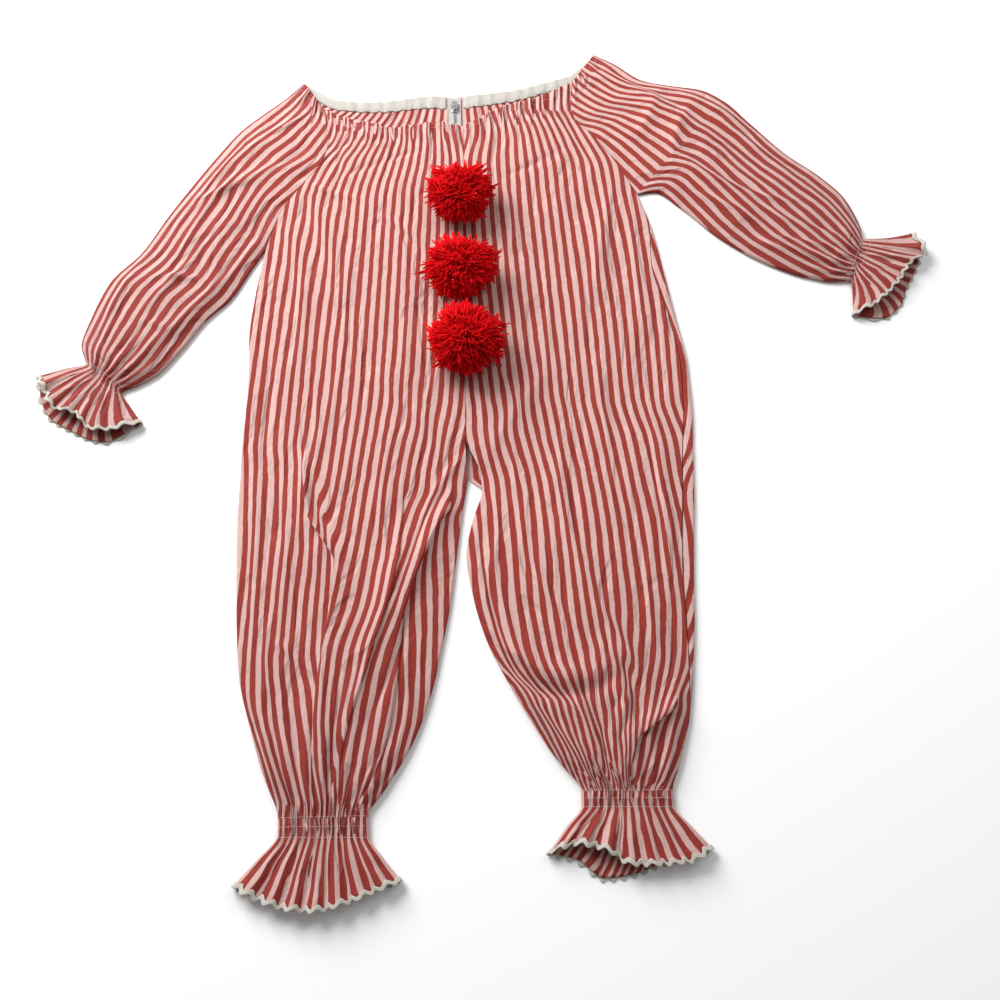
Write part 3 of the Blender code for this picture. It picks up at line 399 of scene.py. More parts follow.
def finished(bm, name, surface):
    """Turns a bmesh into a named object with smooth faces."""
    mesh = bpy.data.meshes.new(name)
    bm.to_mesh(mesh)
    bm.free()
    mesh.materials.append(surface)
    mesh.shade_smooth()
    return placed(name, mesh)


def bead(bm, half_sizes, place, turn=Matrix.Identity(3)):
    """Adds a small rounded solid, turned and then moved to its place."""
    verts = bmesh.ops.create_icosphere(bm, subdivisions=1, radius=1)["verts"]
    bmesh.ops.scale(bm, vec=half_sizes, verts=verts)
    bmesh.ops.rotate(bm, cent=(0, 0, 0), matrix=turn, verts=verts)
    bmesh.ops.translate(bm, vec=place, verts=verts)


def beaded(bm, name, surface):
    """Turns beads laid out in millimetres into a piece that lies on the suit."""
    bmesh.ops.scale(bm, vec=(MM, MM, MM), verts=bm.verts[:])
    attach(finished(bm, name, surface), "suit")


def follow(piece, counts, parts=None):
    """Gives a piece a UV map from one pair of values a vertex, or one pair for each panel it is in: a
    face belongs to the panel of its vertex nearest the side."""
    mesh = piece.data
    layer = mesh.uv_layers.new(name="cloth")
    corners = np.empty(len(mesh.loops), np.int32)
    mesh.loops.foreach_get("vertex_index", corners)
    pairs = counts[0][corners]
    if len(counts) > 1:
        part = np.repeat(parts[corners].reshape(-1, 4).min(axis=1), 4)
        for number, panel in enumerate(counts):
            pairs = np.where((part == number)[:, None], panel[corners], pairs)
    layer.data.foreach_set("uv", pairs.astype(np.float32).ravel())


# ---- Surfaces --------------------------------------------
# Shader helpers, the effects that several materials share, and the striped cotton. A cloth piece's
# UV map counts stripes across and down. Down the legs the reds widen and painted shade darkens the cloth.
def shader_node(tree, kind, sockets=(), **settings):
    """Adds a node; sockets gives its inputs by name or number, as a value or as another's output."""
    node = tree.nodes.new("ShaderNode" + kind)
    for setting, value in settings.items():
        setattr(node, setting, value)
    linked(tree, node.inputs, dict(sockets))
    return node


def maths(tree, operation, *values):
    return shader_node(tree, "Math", dict(enumerate(values)), operation=operation).outputs[0]


def linked(tree, node_inputs, sockets):
    """Sets a node's inputs, each to a value or to another node's output."""
    for key, value in sockets.items():
        if isinstance(value, bpy.types.NodeSocket):
            tree.links.new(value, node_inputs[key])
        else:
            node_inputs[key].default_value = value


def noise(tree, place, scale, detail, **more):
    sockets = {"Vector": place, "Scale": scale, "Detail": detail, **more}
    return shader_node(tree, "TexNoise", sockets).outputs[0]


def ramp(tree, value, start, end, low, high, **settings):
    sockets = {0: value, 1: start, 2: end, 3: low, 4: high}
    return shader_node(tree, "MapRange", sockets, **settings).outputs[0]


def mixed(tree, share, first, second, **settings):
    """A colour between two, or with a blend type set, one blended into the other."""
    sockets = {0: share, 6: first, 7: second}
    return shader_node(tree, "Mix", sockets, data_type="RGBA", **settings).outputs[2]


def mottled(tree, place, scale, detail, colours):
    return mixed(tree, noise(tree, place, scale, detail), *colours)


def shaded(tree, colour, shade):
    return mixed(tree, 1.0, colour, shade, blend_type="MULTIPLY")


def raised(tree, height, strength, distance, **under):
    """A bump, which may start from the Normal of another."""
    sockets = {"Strength": strength, "Distance": distance, "Height": height, **under}
    return shader_node(tree, "Bump", sockets).outputs[0]


def cloth_place(tree):
    return shader_node(tree, "UVMap", uv_map="cloth").outputs[0]


def object_place(tree):
    return shader_node(tree, "TexCoord").outputs["Object"]


def apart(tree, place):
    return shader_node(tree, "SeparateXYZ", {0: place}).outputs


def effect(name, inputs, outputs):
    """A new shader node group with its input and output nodes."""
    tree = bpy.data.node_groups.new(name, "ShaderNodeTree")
    for direction, sockets in (("INPUT", inputs), ("OUTPUT", outputs)):
        for label, kind in sockets.items():
            tree.interface.new_socket(label, in_out=direction, socket_type="NodeSocket" + kind)
    return tree, tree.nodes.new("NodeGroupInput").outputs, tree.nodes.new("NodeGroupOutput").inputs


def use(tree, group, sockets):
    """Places an effect in a material and returns its outputs."""
    node = tree.nodes.new("ShaderNodeGroup")
    node.node_tree = group
    linked(tree, node.inputs, sockets)
    return node.outputs


def surface_of(name, roughness, sheen=0.0, metallic=0.0):
    """A new material with its shader's constant values set, its node tree, and its shader's inputs."""
    surface = bpy.data.materials.new(name)
    surface.use_nodes = True
    tree = surface.node_tree
    inputs = tree.nodes["Principled BSDF"].inputs
    linked(tree, inputs, {"Roughness": roughness, "Metallic": metallic, "Sheen Weight": sheen,
                          "Sheen Roughness": 0.5})
    return surface, tree, inputs


# Plain weave: warp and weft threads that pass over and under each other
weave, given, out = effect("plain_weave", {"Place": "Vector", "Threads": "Float"},
                           {"Height": "Float", "Shade": "Float"})
ends = apart(weave, given["Place"])
turn = maths(weave, "MULTIPLY", given["Threads"], math.pi)
warp, weft = (maths(weave, "SINE", maths(weave, "MULTIPLY", ends[way], turn)) for way in "XY")
crossing = maths(weave, "MULTIPLY", warp, weft)
slub = noise(weave, given["Place"], 3.0, 4.0)
linked(weave, out, {
    "Height": maths(weave, "MULTIPLY_ADD", crossing, 0.5, slub),
    "Shade": maths(weave, "MULTIPLY_ADD", crossing, 0.06, maths(weave, "MULTIPLY", slub, 0.3))})


def woven(name, roughness, sheen, thread_count):
    """A new material with the weave in it, and its tree, shader inputs, place and threads."""
    surface, tree, inputs = surface_of(name, roughness, sheen)
    place = cloth_place(tree)
    return surface, tree, inputs, place, use(tree, weave, {"Place": place, "Threads": thread_count})


# Limp cotton: small soft dents, longer down the cloth than across it
crumple, given, out = effect("crumpled_cloth", {"Place": "Vector"}, {"Height": "Float"})
ends = apart(crumple, given["Place"])
shorter = maths(crumple, "MULTIPLY", ends["Y"], 0.3)
drawn_out = shader_node(crumple, "CombineXYZ", {0: ends["X"], 1: shorter}).outputs[0]
dents = noise(crumple, drawn_out, 0.45, 3.0, Distortion=0.6)
ridged = maths(crumple, "ABSOLUTE", maths(crumple, "SUBTRACT", dents, 0.5))
linked(crumple, out, {"Height": maths(crumple, "MULTIPLY_ADD", ridged, -1.6, dents)})

# Stripes of dyed yarn: solid colour, a denser thread along each edge
stripes, given, out = effect("dyed_stripes", {"Place": "Vector", "Red share": "Float", "Softness": "Float"},
                             {"Red": "Float", "Edge": "Float"})
wander = maths(stripes, "MULTIPLY_ADD", noise(stripes, given["Place"], 0.8, 3.0), 0.16, -0.08)
across = maths(stripes, "ADD", apart(stripes, given["Place"])["X"], wander)
off_red = maths(stripes, "ABSOLUTE", maths(stripes, "SUBTRACT", across, maths(stripes, "ROUND", across)))
half = maths(stripes, "MULTIPLY", given["Red share"], 0.5)
depth = maths(stripes, "DIVIDE", maths(stripes, "SUBTRACT", half, off_red), given["Softness"])
off_edge = maths(stripes, "ABSOLUTE", maths(stripes, "MULTIPLY_ADD", depth, 0.5, -0.8))
linked(stripes, out, {
    "Red": ramp(stripes, depth, -1.0, 1.0, 0.0, 1.0, interpolation_type="SMOOTHSTEP"),
    "Edge": maths(stripes, "MAXIMUM", maths(stripes, "SUBTRACT", 1.0, off_edge), 0.0)})

WEAVE_SHADE = 0.86  # shade of the cloth between threads
# The striped cotton's colours, and where down it, in stripes, painted shade starts and ends, and how dark
STRIPE_RED = (0.285, 0.019, 0.009, 1)
STRIPE_WHITE = (0.62, 0.38, 0.35, 1)
DARKER_RED = (0.22, 0.02, 0.012, 1)
PAINTED_SHADE_FROM, ANKLE_DOWN, ANKLE_PAINTED_SHADE = 14.0, 36.0, 0.84
striped, tree, inputs, place, threads = woven("striped_cotton", 0.85, 0.07, 26.0)
down = apart(tree, place)["Y"]
red_share = ramp(tree, down, 0.0, ANKLE_DOWN, 0.48, 0.57)
bands = use(tree, stripes, {"Place": place, "Red share": red_share, "Softness": 0.035})
base = mixed(tree, bands["Red"], STRIPE_WHITE, STRIPE_RED)
base = mixed(tree, maths(tree, "MULTIPLY", bands["Edge"], 0.5), base, DARKER_RED)
# Painted shade: darker towards the ankles, standing for the light falling off towards the feet
painted_shade = ramp(tree, down, PAINTED_SHADE_FROM, ANKLE_DOWN, 1.0, ANKLE_PAINTED_SHADE)
shade = maths(tree, "MULTIPLY", maths(tree, "ADD", threads["Shade"], WEAVE_SHADE), painted_shade)
dents = raised(tree, use(tree, crumple, {"Place": place})["Height"], 1.0, 0.005)
linked(tree, inputs, {"Base Color": shaded(tree, base, shade),
                      "Normal": raised(tree, threads["Height"], 0.35, 0.0004, Normal=dents)})

# ---- Fronts ----------------------------------------------
# The two fronts are cut from red and white striped plain-weave cotton with the stripes running down
# the body, sewn together at the centre down to the crotch, and gathered on to the neck and on to an
# elastic at each ankle, below which the cloth flares into a ruffle.
FRONT_COLUMNS = 14
FRONT_ALL = EDGE_STOPS * 2 + FRONT_COLUMNS
FRONT_STEPS = ((0, 2, 5), (2, 16, 120), (16, 18, 5))  # columns: from, to, steps
BODY_STEPS = ((0, 1.6, 36), (1.6, 17.6, 210), (17.6, 22, 70))  # rows
CENTRE_FRONT = ((-41, 417), (-40, 385), (-39.5, 350), (-38.5, 305), (-37.5, 262), (-36, 220),
                (-35, 160), (-34, 105), (-33, 50), (-32, 0), (-31, -54))
RAGLAN = {"left": ((-227, 446), (-216, 408), (-221, 366), (-248, 317), (-272, 270), (-284, 218)),
          "right": ((106, 494), (103, 456), (110, 424), (133, 400), (160, 353), (184, 304))}
SIDE = {"left": ((-284, 218), (-290, 150), (-292, 100), (-288, 50), (-285.5, 0), (-285, -55),
                 (-283, -95), (-281, -140), (-277, -190), (-272, -240), (-266, -290), (-259, -330),
                 (-246, -370), (-228, -418), (-208, -462), (-207, -479), (-226, -503), (-244, -524)),
        "right": ((184, 304), (200, 245), (210, 180), (219, 120), (229, 50), (230, -5),
                  (227, -60), (224, -115), (220, -165), (216, -215), (213, -262), (208, -310),
                  (201, -360), (187, -410), (178, -436), (178, -451), (194, -471), (211, -490))}
INSEAM = {"left": ((-34, -142), (-39, -190), (-44, -240), (-53, -295), (-62, -340), (-79, -390),
                   (-104, -434), (-120, -460), (-119, -479), (-103, -501), (-87, -519)),
          "right": ((-12, -114), (-22, -150), (-28, -190), (-20, -238), (-6, -284), (20, -335),
                    (62, -403), (88, -436), (88, -451), (72, -472), (55, -495))}
FRONT_RISE = {"left": ((-31, -54), (-29, -97)), "right": ((-31, -54), (-14, -90))}
# Row by row: radius of the folded edges, rise of the upper sheet at its fullest, turn on to the front
BODY_SECTIONS = (
    (1.5, 0.0, 0), (1.5, 1.5, 0), (1.5, 3.5, 0), (1.5, 5.0, 0), (1.5, 5.0, 0), (1.5, 5.0, 0),
    (1.6, 5.0, 15), (1.7, 5.0, 14), (1.8, 5.0, 9), (1.8, 5.0, 9), (1.8, 5.0, 11), (1.8, 5.0, 13),
    (1.8, 6.0, 14), (1.9, 7.0, 14), (2.0, 7.5, 13), (2.1, 8.0, 10), (2.3, 8.5, 6), (2.6, 8.0, 2),
    (3.0, 6.0, 0), (3.0, 2.0, 0), (3.0, 2.0, 0), (3.0, 3.0, 0), (3.0, 3.0, 0),
)
FRONT_BOWS = {"left": ((0, 11, 14, 18, 8, -1, 0), (0, 13, 22, 24.5, 19, 10, 0)),
              "right": ((0, 2, 3, -2.5, -6, -2, 0), (0, 12, 13, 12, -3, -8, 0))}
PARTED_FROM, PARTED_OVER = 1.6, 2.4  # rows above the crotch at which the legs' puffs start to part
FRONT_LIMP = 0.5
# Gathers: strongest row, rows they fade over before and after it, how many across, height
FRONT_GATHERS = ((0.0, 1.0, 2.2, 14, 2.8), (19.6, 1.6, 1.0, 14, 1.8), (18.1, 2.6, 1.2, 7, 4.0),
                 (22.0, 2.2, 9.0, 7, 5.5))
FRONT_PUCKERS = ((0.0, 1.0, 1.7, 23, 4.0), (19.5, 2.2, 0.9, 19, 4.0), (20.9, 0.9, 1.4, 17, 2.2))
# Where two guide stripes run down a front, in order from the side: the counts of the two, then y and
# their x. Past the first one each panel takes over from the "main" one at its first row, where a
# pleat hides some stripes.
STRIPES_ON_FRONT = {
    "left": (
        ((3, 9), (-50, -235, -165), (-100, -232, -165), (-200, -228, -165), (-300, -227, -165),
         (-350, -220, -155), (-400, -207, -153), (-450, -192, -150)),
        ((2, 11), (445, -195, -122), (400, -200, -122), (350, -225, -130), (300, -240, -138),
         (200, -243, -139), (100, -245, -140), (0, -247, -142), (-100, -248, -150), (-150, -255, -155),
         (-200, -256, -160), (-250, -268, -168), (-300, -275, -179), (-350, -270, -180),
         (-400, -258, -175), (-450, -228, -165)),
        ((12, 19), (-100, -135, -60), (-150, -152, -78), (-200, -165, -88), (-250, -180, -101),
         (-300, -197, -117), (-350, -204, -127), (-400, -204, -134), (-450, -190, -140)),
        ((20, 22), (-120, -60, -38), (-300, -60, -38), (-350, -61, -40), (-400, -72, -54),
         (-450, -88, -74)),
    ),
    "right": (
        ((-4, 0), (-330, 203, 165), (-345, 203, 165), (-400, 186, 150), (-440, 166, 138)),
        ((0, 7), (445, 91, 26), (400, 110, 38), (350, 127, 42), (300, 131, 45), (250, 136, 49),
         (200, 140, 53), (100, 146, 61), (0, 150, 69), (-50, 160, 76), (-100, 166, 85), (-150, 173, 91),
         (-200, 177, 95), (-250, 180, 99), (-300, 178, 105), (-360, 163, 112), (-400, 154, 117),
         (-445, 147, 122)),
    ),
}
MAIN_PANEL = 1
TAKE_OVER = 30.0
RUFFLE_FROM = 19.05  # row at which the elastic hides where the leg's stripes become the ruffle's
RUFFLE_STRIPES = {"left": ((19.2, 0.4, 14.6), (22, 0.4, 14.6)),
                  "right": ((19.2, 0.4, 12.6), (22, 0.4, 12.6))}
# Pleats between the panels: the grid share each keeps to, then y, x, how high the upper layer rises
# over the lower one (below nought where it is the layer further from the side), and how far back
PLEATS = {
    "left": (
        (0.3, (0, -218, 0, 14), (-50, -218, 0, 14), (-100, -213, -1.5, 14), (-150, -203, -2.5, 16),
         (-175, -186, -3.2, 18), (-200, -171, -3.2, 18), (-230, -170, -3.0, 18), (-300, -177, -2.2, 16),
         (-350, -180, -1.5, 14), (-400, -180, -0.6, 12), (-450, -176, 0, 8)),
        (0.6, (-60, -98, 0, 14), (-120, -98, 1.0, 14), (-190, -99, 2.6, 16), (-250, -110, 3.4, 18),
         (-315, -127, 3.4, 16), (-350, -138, 2.6, 14), (-400, -148, 1.2, 12), (-450, -150, 0, 8)),
        (0.8, (-90, -36, 0, 20), (-115, -37, 2.0, 20), (-155, -57, 5.0, 24), (-200, -75, 6.0, 26),
         (-240, -87, 5.5, 24), (-265, -93, 5.0, 22), (-300, -95, 4.0, 20), (-370, -101, 2.6, 14),
         (-410, -112, 1.4, 10), (-450, -130, 0, 8))),
    "right": (
        (0.1, (-300, 207, 0, 10), (-335, 203, 0, 10), (-345, 192, -3.0, 14), (-365, 170, -4.0, 16),
         (-390, 145, -3.0, 14), (-420, 138, -1.2, 10), (-450, 138, 0, 8)),),
}
PLEAT_FREE = 0.05  # shares at the two edges that stay free of pleats
PLEAT_EDGE = 0.004  # share of the way across that the upper layer's edge takes
PLEAT_SLACK = 0.02  # how far short of its edge the upper layer still counts as raised
PAST_A_STEP = 1.001


def stripes_across(table, share, rows):
    """Stripe count at a share of the way across, evenly spread between the two sides."""
    first, last = by_rows(table, rows)
    return first + (last - first) * share


def stripes_between(guides, x, y):
    """Stripe count at plan points, from two guide stripes."""
    (first, last), *table = guides
    x_first, x_last = down_the_leg(table, y)
    return first + (last - first) * (x - x_first) / (x_last - x_first)


def panel_stripes(side, x, y):
    """Stripe counts at plan points for each panel of a front."""
    main = stripes_between(STRIPES_ON_FRONT[side][MAIN_PANEL], x, y)
    for guides in STRIPES_ON_FRONT[side]:
        taken = ease((guides[1][0] - y) / TAKE_OVER) if guides[1][0] < 0 else 1
        yield main + (stripes_between(guides, x, y) - main) * taken


def pleat_places(side, rows):
    """Share of the way across at which each pleat lies, with its height and how far back it goes."""
    outer, inner = front_lines(side, rows)
    y = (outer[:, 1] + inner[:, 1]) / 2
    for number, (_, *table) in enumerate(PLEATS[side]):
        x, rise, back = down_the_leg(table, y)
        share = (x - outer[:, 0]) / (inner[:, 0] - outer[:, 0])
        after = len(PLEATS[side]) - 1 - number
        yield np.clip(share, PLEAT_FREE * (1 + number), 1 - PLEAT_FREE * (1 + after)), rise, back


def pleated(side, shares, rows):
    """Carries even grid shares to where the pleats are."""
    knots, places = [np.zeros_like(rows)], [np.zeros_like(rows)]
    for (grid_share, *_), (share, _, _) in zip(PLEATS[side], pleat_places(side, rows)):
        for step, past in ((0, 0), (PAST_A_STEP / FRONT_STEPS[1][2], PLEAT_EDGE)):
            knots.append(np.full_like(rows, grid_share + step))
            places.append(share + past)
    knots.append(np.ones_like(rows))
    places.append(np.ones_like(rows))
    out = shares.copy()
    for k in range(len(knots) - 1):
        here = (shares >= knots[k]) & (shares <= knots[k + 1])
        t = (shares - knots[k]) / (knots[k + 1] - knots[k])
        out = np.where(here, places[k] + t * (places[k + 1] - places[k]), out)
    return out


def pleat_relief(side, share, rows, width):
    """Height of the upper layer beside each pleat."""
    height = np.zeros_like(rows)
    for place, rise, back in pleat_places(side, rows):
        off = np.where(rise > 0, place - share, share - place - PLEAT_EDGE) * width
        height += np.abs(rise) * np.where(off >= -PLEAT_SLACK, np.exp(-(np.maximum(off, 0) / back) ** 2), 0)
    return height


def lap_at(side, lap, rows):
    """How far a side seam is turned on to the front, which only the right one is."""
    return lap * ease((rows - UNDERARM_ROW - FOLD_ROWS) / LAP_ROWS) * (side == "right")


def front_lines(side, rows):
    """A front's side line, from the neck down its raglan seam, and its centre line and inseam."""
    inner = (CENTRE_FRONT, FRONT_RISE[side], (FRONT_RISE[side][-1],) + INSEAM[side])
    return line_at((RAGLAN[side], SIDE[side]), rows), line_at(inner, rows)


def laid_out(side, outer, inner, bows, columns, rows, count, lapped=False):
    """Plan places of a front or back between its side line and its inner one, and what they rest on."""
    radius, puff, lap = section_at(BODY_SECTIONS, rows)
    lap = lap_at(side, lap, rows)
    turn = -lap if lapped else lap
    side_fold, inner_fold = turned(rows, UNDERARM_ROW), turned(rows, CROTCH_ROW)
    width = np.linalg.norm(inner - outer, axis=1)
    cloth = width - taken_up(radius, side_fold, turn) - taken_up(radius, inner_fold, 0)
    gap = seam_gap(rows, UNDERARM_ROW)
    start = lap_stops(gap, radius, lap) if lapped else edge_stops(gap, radius)
    end = [cloth - d for d in reversed(edge_stops(seam_gap(rows, CROTCH_ROW), radius))]
    distance = step_through(start + between(start[-1], end[0], count) + end, columns)
    in_side, off_side = from_seam(distance, radius, side_fold, turn)
    in_inner, off_inner = from_seam(cloth - distance, radius, inner_fold, 0)
    near_side = distance < cloth / 2
    share = np.where(near_side, in_side, width - in_inner) / width
    plan = outer + (inner - outer) * share[:, None]
    plan = bowed(plan, outer, inner, HAND[side], share, rows, *bows[side], HEM_ROW)
    return SimpleNamespace(plan=plan, share=share, width=width, cloth=cloth, distance=distance,
                           radius=radius, puff=puff, lift=np.where(near_side, off_side, off_inner),
                           side_fold=side_fold, inner_fold=inner_fold)


def front_cloth(side, columns, rows):
    """Middle surface of a front, with its stripe counts panel by panel, the ruffle's last."""
    laid = laid_out(side, *front_lines(side, rows), FRONT_BOWS, columns, rows, FRONT_COLUMNS)
    share, width, (x, y) = laid.share, laid.width, laid.plan.T
    level = WALL / 2 + 2 * laid.radius - laid.lift
    parted = ease((rows - CROTCH_ROW + PARTED_FROM) / PARTED_OVER)
    level += laid.puff * ((1 - parted) * np.sin(math.pi / 2 * share) + parted * np.sin(math.pi * share))
    held = (held_by_seam(laid.distance, laid.side_fold)
            * held_by_seam(laid.cloth - laid.distance, laid.inner_fold))
    across = (columns - EDGE_STOPS) / FRONT_COLUMNS
    relief, drawn_x, drawn_y = folds_at(x, y, FOLDS + CREASES)
    pucker, drift = puckers_at(FRONT_PUCKERS, across, rows)
    relief += gathers_at(FRONT_GATHERS, across, rows) + pucker
    relief += limp(x, y, FRONT_LIMP) + pleat_relief(side, across, rows, width)
    level += relief * held + HEM_CLEAR * ease(rows - HEM_ROW + 1)
    counts = list(panel_stripes(side, x + drawn_x + HAND[side] * drift, y + drawn_y))
    counts.append(stripes_across(RUFFLE_STRIPES[side], share + drift / width, rows))
    return (np.column_stack([laid.plan, level]),
            [np.column_stack([count, -y / STRIPE]) for count in counts])


for side in HAND:
    front = sewn("cloth_front_" + side, partial(front_cloth, side), FRONT_STEPS, BODY_STEPS, CLOTH,
                 striped, pleats=side)
    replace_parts(front, "front_" + side)

# ---- Backs -----------------------------------------------
# The two backs are cut like the fronts from the same cloth and joined by the zip down the centre.
# They lie under everything. The right one is wrapped round on to the front along the side seam.
BACK_COLUMNS = 5
BACK_ALL = LAP_STOPS + BACK_COLUMNS + EDGE_STOPS
BACK_STEPS = ((0, 4, 16), (4, 9, 50), (9, 11, 5))
BACK_ROW_STEPS = ((0, 1.6, 24), (1.6, 17.6, 80), (17.6, 22, 36))
CENTRE_BACK = ((-53, 470), (-52, 425), (-51, 380), (-49, 330), (-47, 280), (-45, 225),
               (-42, 165), (-40, 110), (-38, 55), (-35, 0), (-32, -50), (-27, -99))
BACK_RAGLAN = {
    "left": ((-240, 480), (-236, 445), (-240, 405), (-252, 350), (-271, 280), (-284, 218)),
    "right": ((122, 526), (124, 490), (130, 455), (142, 410), (160, 360), (184, 304))}
BACK_BOWS = {"left": ((0, 15, 16.5, 14, 7, 1, 0), (0, 9, 16, 18, 14, 8, 0)),
             "right": ((0, 12.5, 13.5, 14, 11, 6, 0), (0, 8, 14, 22, 24, 6, 0))}
BACK_GATHERS = ((0.0, 1.0, 1.2, 10, 1.6),)
BACK_PUCKERS = ((0.0, 1.0, 1.4, 17, 0.7), (19.5, 1.1, 0.8, 31, 0.8), (21.5, 1.9, 1.4, 9, 1.2))
# Soft creases on the under side, in the columns of the folds; they all rise off the floor
BACK_CREASES = (
    (-240, 190, -200, 120, -195, 20, 7, 5, 1.3), (-150, 300, -165, 200, -150, 110, 6, 6, 1.1),
    (-110, 60, -95, -20, -70, -75, 7, 7, 1.4), (-250, -90, -235, -190, -240, -300, 6, 6, 1.3),
    (-180, -120, -165, -210, -120, -290, 8, 6, 1.6), (-95, -250, -110, -330, -140, -410, 6, 7, 1.5),
    (-200, -330, -190, -390, -170, -440, 5, 5, 1.4), (120, 330, 140, 220, 120, 120, 7, 6, 1.3),
    (60, 240, 80, 150, 70, 50, 6, 6, 1.0), (150, -20, 170, -130, 150, -230, 7, 6, 1.4),
    (40, -120, 60, -220, 110, -300, 7, 8, 1.6), (20, -280, 60, -340, 90, -400, 6, 6, 1.4),
    (170, -290, 150, -360, 140, -410, 6, 6, 1.5), (-60, 10, -90, -50, -150, -80, 6, 5, 1.1),
)
TAPE_WIDTH = 8.5
BACK_GATHERS_CLEAR = 22.0
TAPE_CLEAR = 1.5  # tape widths that the gathers keep off the zip
# How much denser the stripes are at the gathers, how many rows below the neck, and from which row down
CLOSER_AT_NECK, CLOSER_AT_ANKLE = 0.35, 0.6
NECK_ROWS, ANKLE_FROM, ANKLE_ROWS = 2, 16, 3
BACK_FIRST_STRIPE = 0.3


def lap_stops(gap, radius, lap):
    """Cloth distances of the columns that take the side of a back, from its seam round the fold."""
    quarter = radius * math.pi / 2
    bunched = np.clip(lap / (2 * quarter), 0, 1)
    stops = [gap]
    for k in range(1, LAP_STOPS + 1):
        even = (quarter + lap) * k / LAP_STOPS
        turn_only = lap - quarter + 2 * quarter * (k - 1) / (LAP_STOPS - 1)
        stops.append(gap + even * (1 - bunched) + turn_only * bunched)
    return stops


def back_cloth(side, columns, rows):
    """Middle surface of a back, flat on the floor with its side and inseam edges turned up."""
    outer = line_at((BACK_RAGLAN[side], SIDE[side]), rows)
    inner = line_at((CENTRE_BACK, (CENTRE_BACK[-1],) + INSEAM[side]), rows)
    laid = laid_out(side, outer, inner, BACK_BOWS, columns, rows, BACK_COLUMNS, lapped=True)
    (x, y), from_inner = laid.plan.T, laid.cloth - laid.distance
    clear = ease(from_inner / TAPE_WIDTH - TAPE_CLEAR) * ease(laid.distance / BACK_GATHERS_CLEAR - 1)
    across = (columns - LAP_STOPS) / BACK_COLUMNS
    pucker, drift = puckers_at(BACK_PUCKERS, across, rows)
    relief = gathers_at(BACK_GATHERS, across, rows) + pucker
    relief += folds_at(x, y, BACK_CREASES)[0] * laid.side_fold
    level = WALL / 2 + laid.lift + relief * clear + HEM_CLEAR * ease(rows - HEM_ROW + 1)
    closer = 1 + CLOSER_AT_NECK * ease(1 - rows / NECK_ROWS)
    closer += CLOSER_AT_ANKLE * ease((rows - ANKLE_FROM) / ANKLE_ROWS)
    count = (from_inner + drift) / STRIPE * closer + BACK_FIRST_STRIPE
    return np.column_stack([laid.plan, level]), np.column_stack([count, -y / STRIPE])


both_sides("cloth_back", back_cloth, BACK_STEPS, BACK_ROW_STEPS, CLOTH, striped, stands_for="back")

# ---- Sleeves ---------------------------------------------
# Each raglan sleeve is one piece folded along its outer edge, its stripes running down the arm. It
# is gathered on to the neck, sewn to front and back on slanting seams, and elasticated at the wrist
# above a ruffle.
CUFF_ROW = 14
SLEEVE_TOP_COLUMNS, SLEEVE_TURN_COLUMNS, SLEEVE_UNDER_COLUMNS = 12, 3, 6
SLEEVE_ALL = EDGE_STOPS * 2 + SLEEVE_TOP_COLUMNS + SLEEVE_TURN_COLUMNS + SLEEVE_UNDER_COLUMNS
SLEEVE_STEPS = ((0, 2, 5), (2, 14, 84), (14, 17, 6), (17, 23, 30), (23, 25, 5))
SLEEVE_ROW_STEPS = ((0, 1.6, 30), (1.6, 9.5, 100), (9.5, 14, 60))
SLEEVE_FOLD = {
    "left": ((-258, 494), (-282, 464), (-310, 436), (-336, 407), (-361, 366), (-386, 320),
             (-412, 268), (-437, 212), (-470, 166), (-484, 116), (-490, 80), (-484, 60),
             (-480, 50), (-504, 43), (-533, 32)),
    "right": ((137, 546), (163, 530), (203, 498), (239, 489), (278, 482), (310, 461),
              (341, 421), (381, 370), (422, 331), (448, 296), (459, 262), (462, 245),
              (463, 231), (492, 233), (525, 239))}
UNDERARM = {
    "left": ((-284, 218), (-301, 182), (-319, 144), (-347, 110), (-370, 71), (-394, 37),
             (-416, 22), (-433, 12), (-420, -7), (-404, -28)),
    "right": ((184, 304), (207, 308), (240, 280), (281, 237), (330, 200), (385, 175),
              (415, 169), (440, 170), (438, 145), (434, 119))}
# Row by row: radius of the folded edges, rise of the upper sheet at its fullest
SLEEVE_SECTIONS = (
    (1.5, 0.0), (1.5, 1.5), (1.5, 3.0), (1.5, 4.5), (1.5, 6.0), (1.5, 7.0), (1.7, 7.5), (1.9, 8.0),
    (2.1, 8.0), (2.4, 8.0), (2.7, 7.0), (3.0, 4.0), (3.0, 1.5), (3.0, 3.0), (3.0, 3.0),
)
CUFF_BOWS = {"left": ((0, 14, 28, 23, 33, 23, 0), (0, 27, 40, 42, 43, 37, 0)),
             "right": ((0, 27, 18, 20, 18, 13, 0), (0, 24, 30, 33, 39, 35, 0))}
SLEEVE_GATHERS = ((0.0, 1.0, 1.6, 6, 1.8), (12.0, 1.2, 0.9, 8, 1.6), (10.9, 2.2, 0.9, 6, 3.5),
                  (14.0, 1.7, 9.0, 6, 5.0))
SLEEVE_PUCKERS = ((0.0, 1.0, 1.8, 9, 3.0), (11.9, 1.2, 0.8, 21, 2.0), (13.0, 0.7, 1.2, 13, 1.8))
SLEEVE_LIMP = 0.6
FLAT_AT_CREASE = 0.3  # of the softening, by which the under creases keep off the outer crease
# Soft creases on the sleeves' under sides; they all rise off the floor
SLEEVE_UNDER_CREASES = (
    (-300, 430, -340, 350, -390, 260, 6, 6, 1.2), (-290, 300, -330, 230, -380, 160, 6, 5, 1.1),
    (-400, 190, -430, 130, -450, 80, 5, 5, 1.0), (-350, 160, -390, 110, -425, 60, 5, 5, 1.0),
    (180, 470, 250, 430, 320, 390, 6, 6, 1.2), (220, 350, 290, 310, 350, 250, 6, 6, 1.1),
    (300, 400, 360, 340, 410, 280, 6, 5, 1.1), (350, 260, 395, 235, 430, 215, 5, 5, 1.0),
)
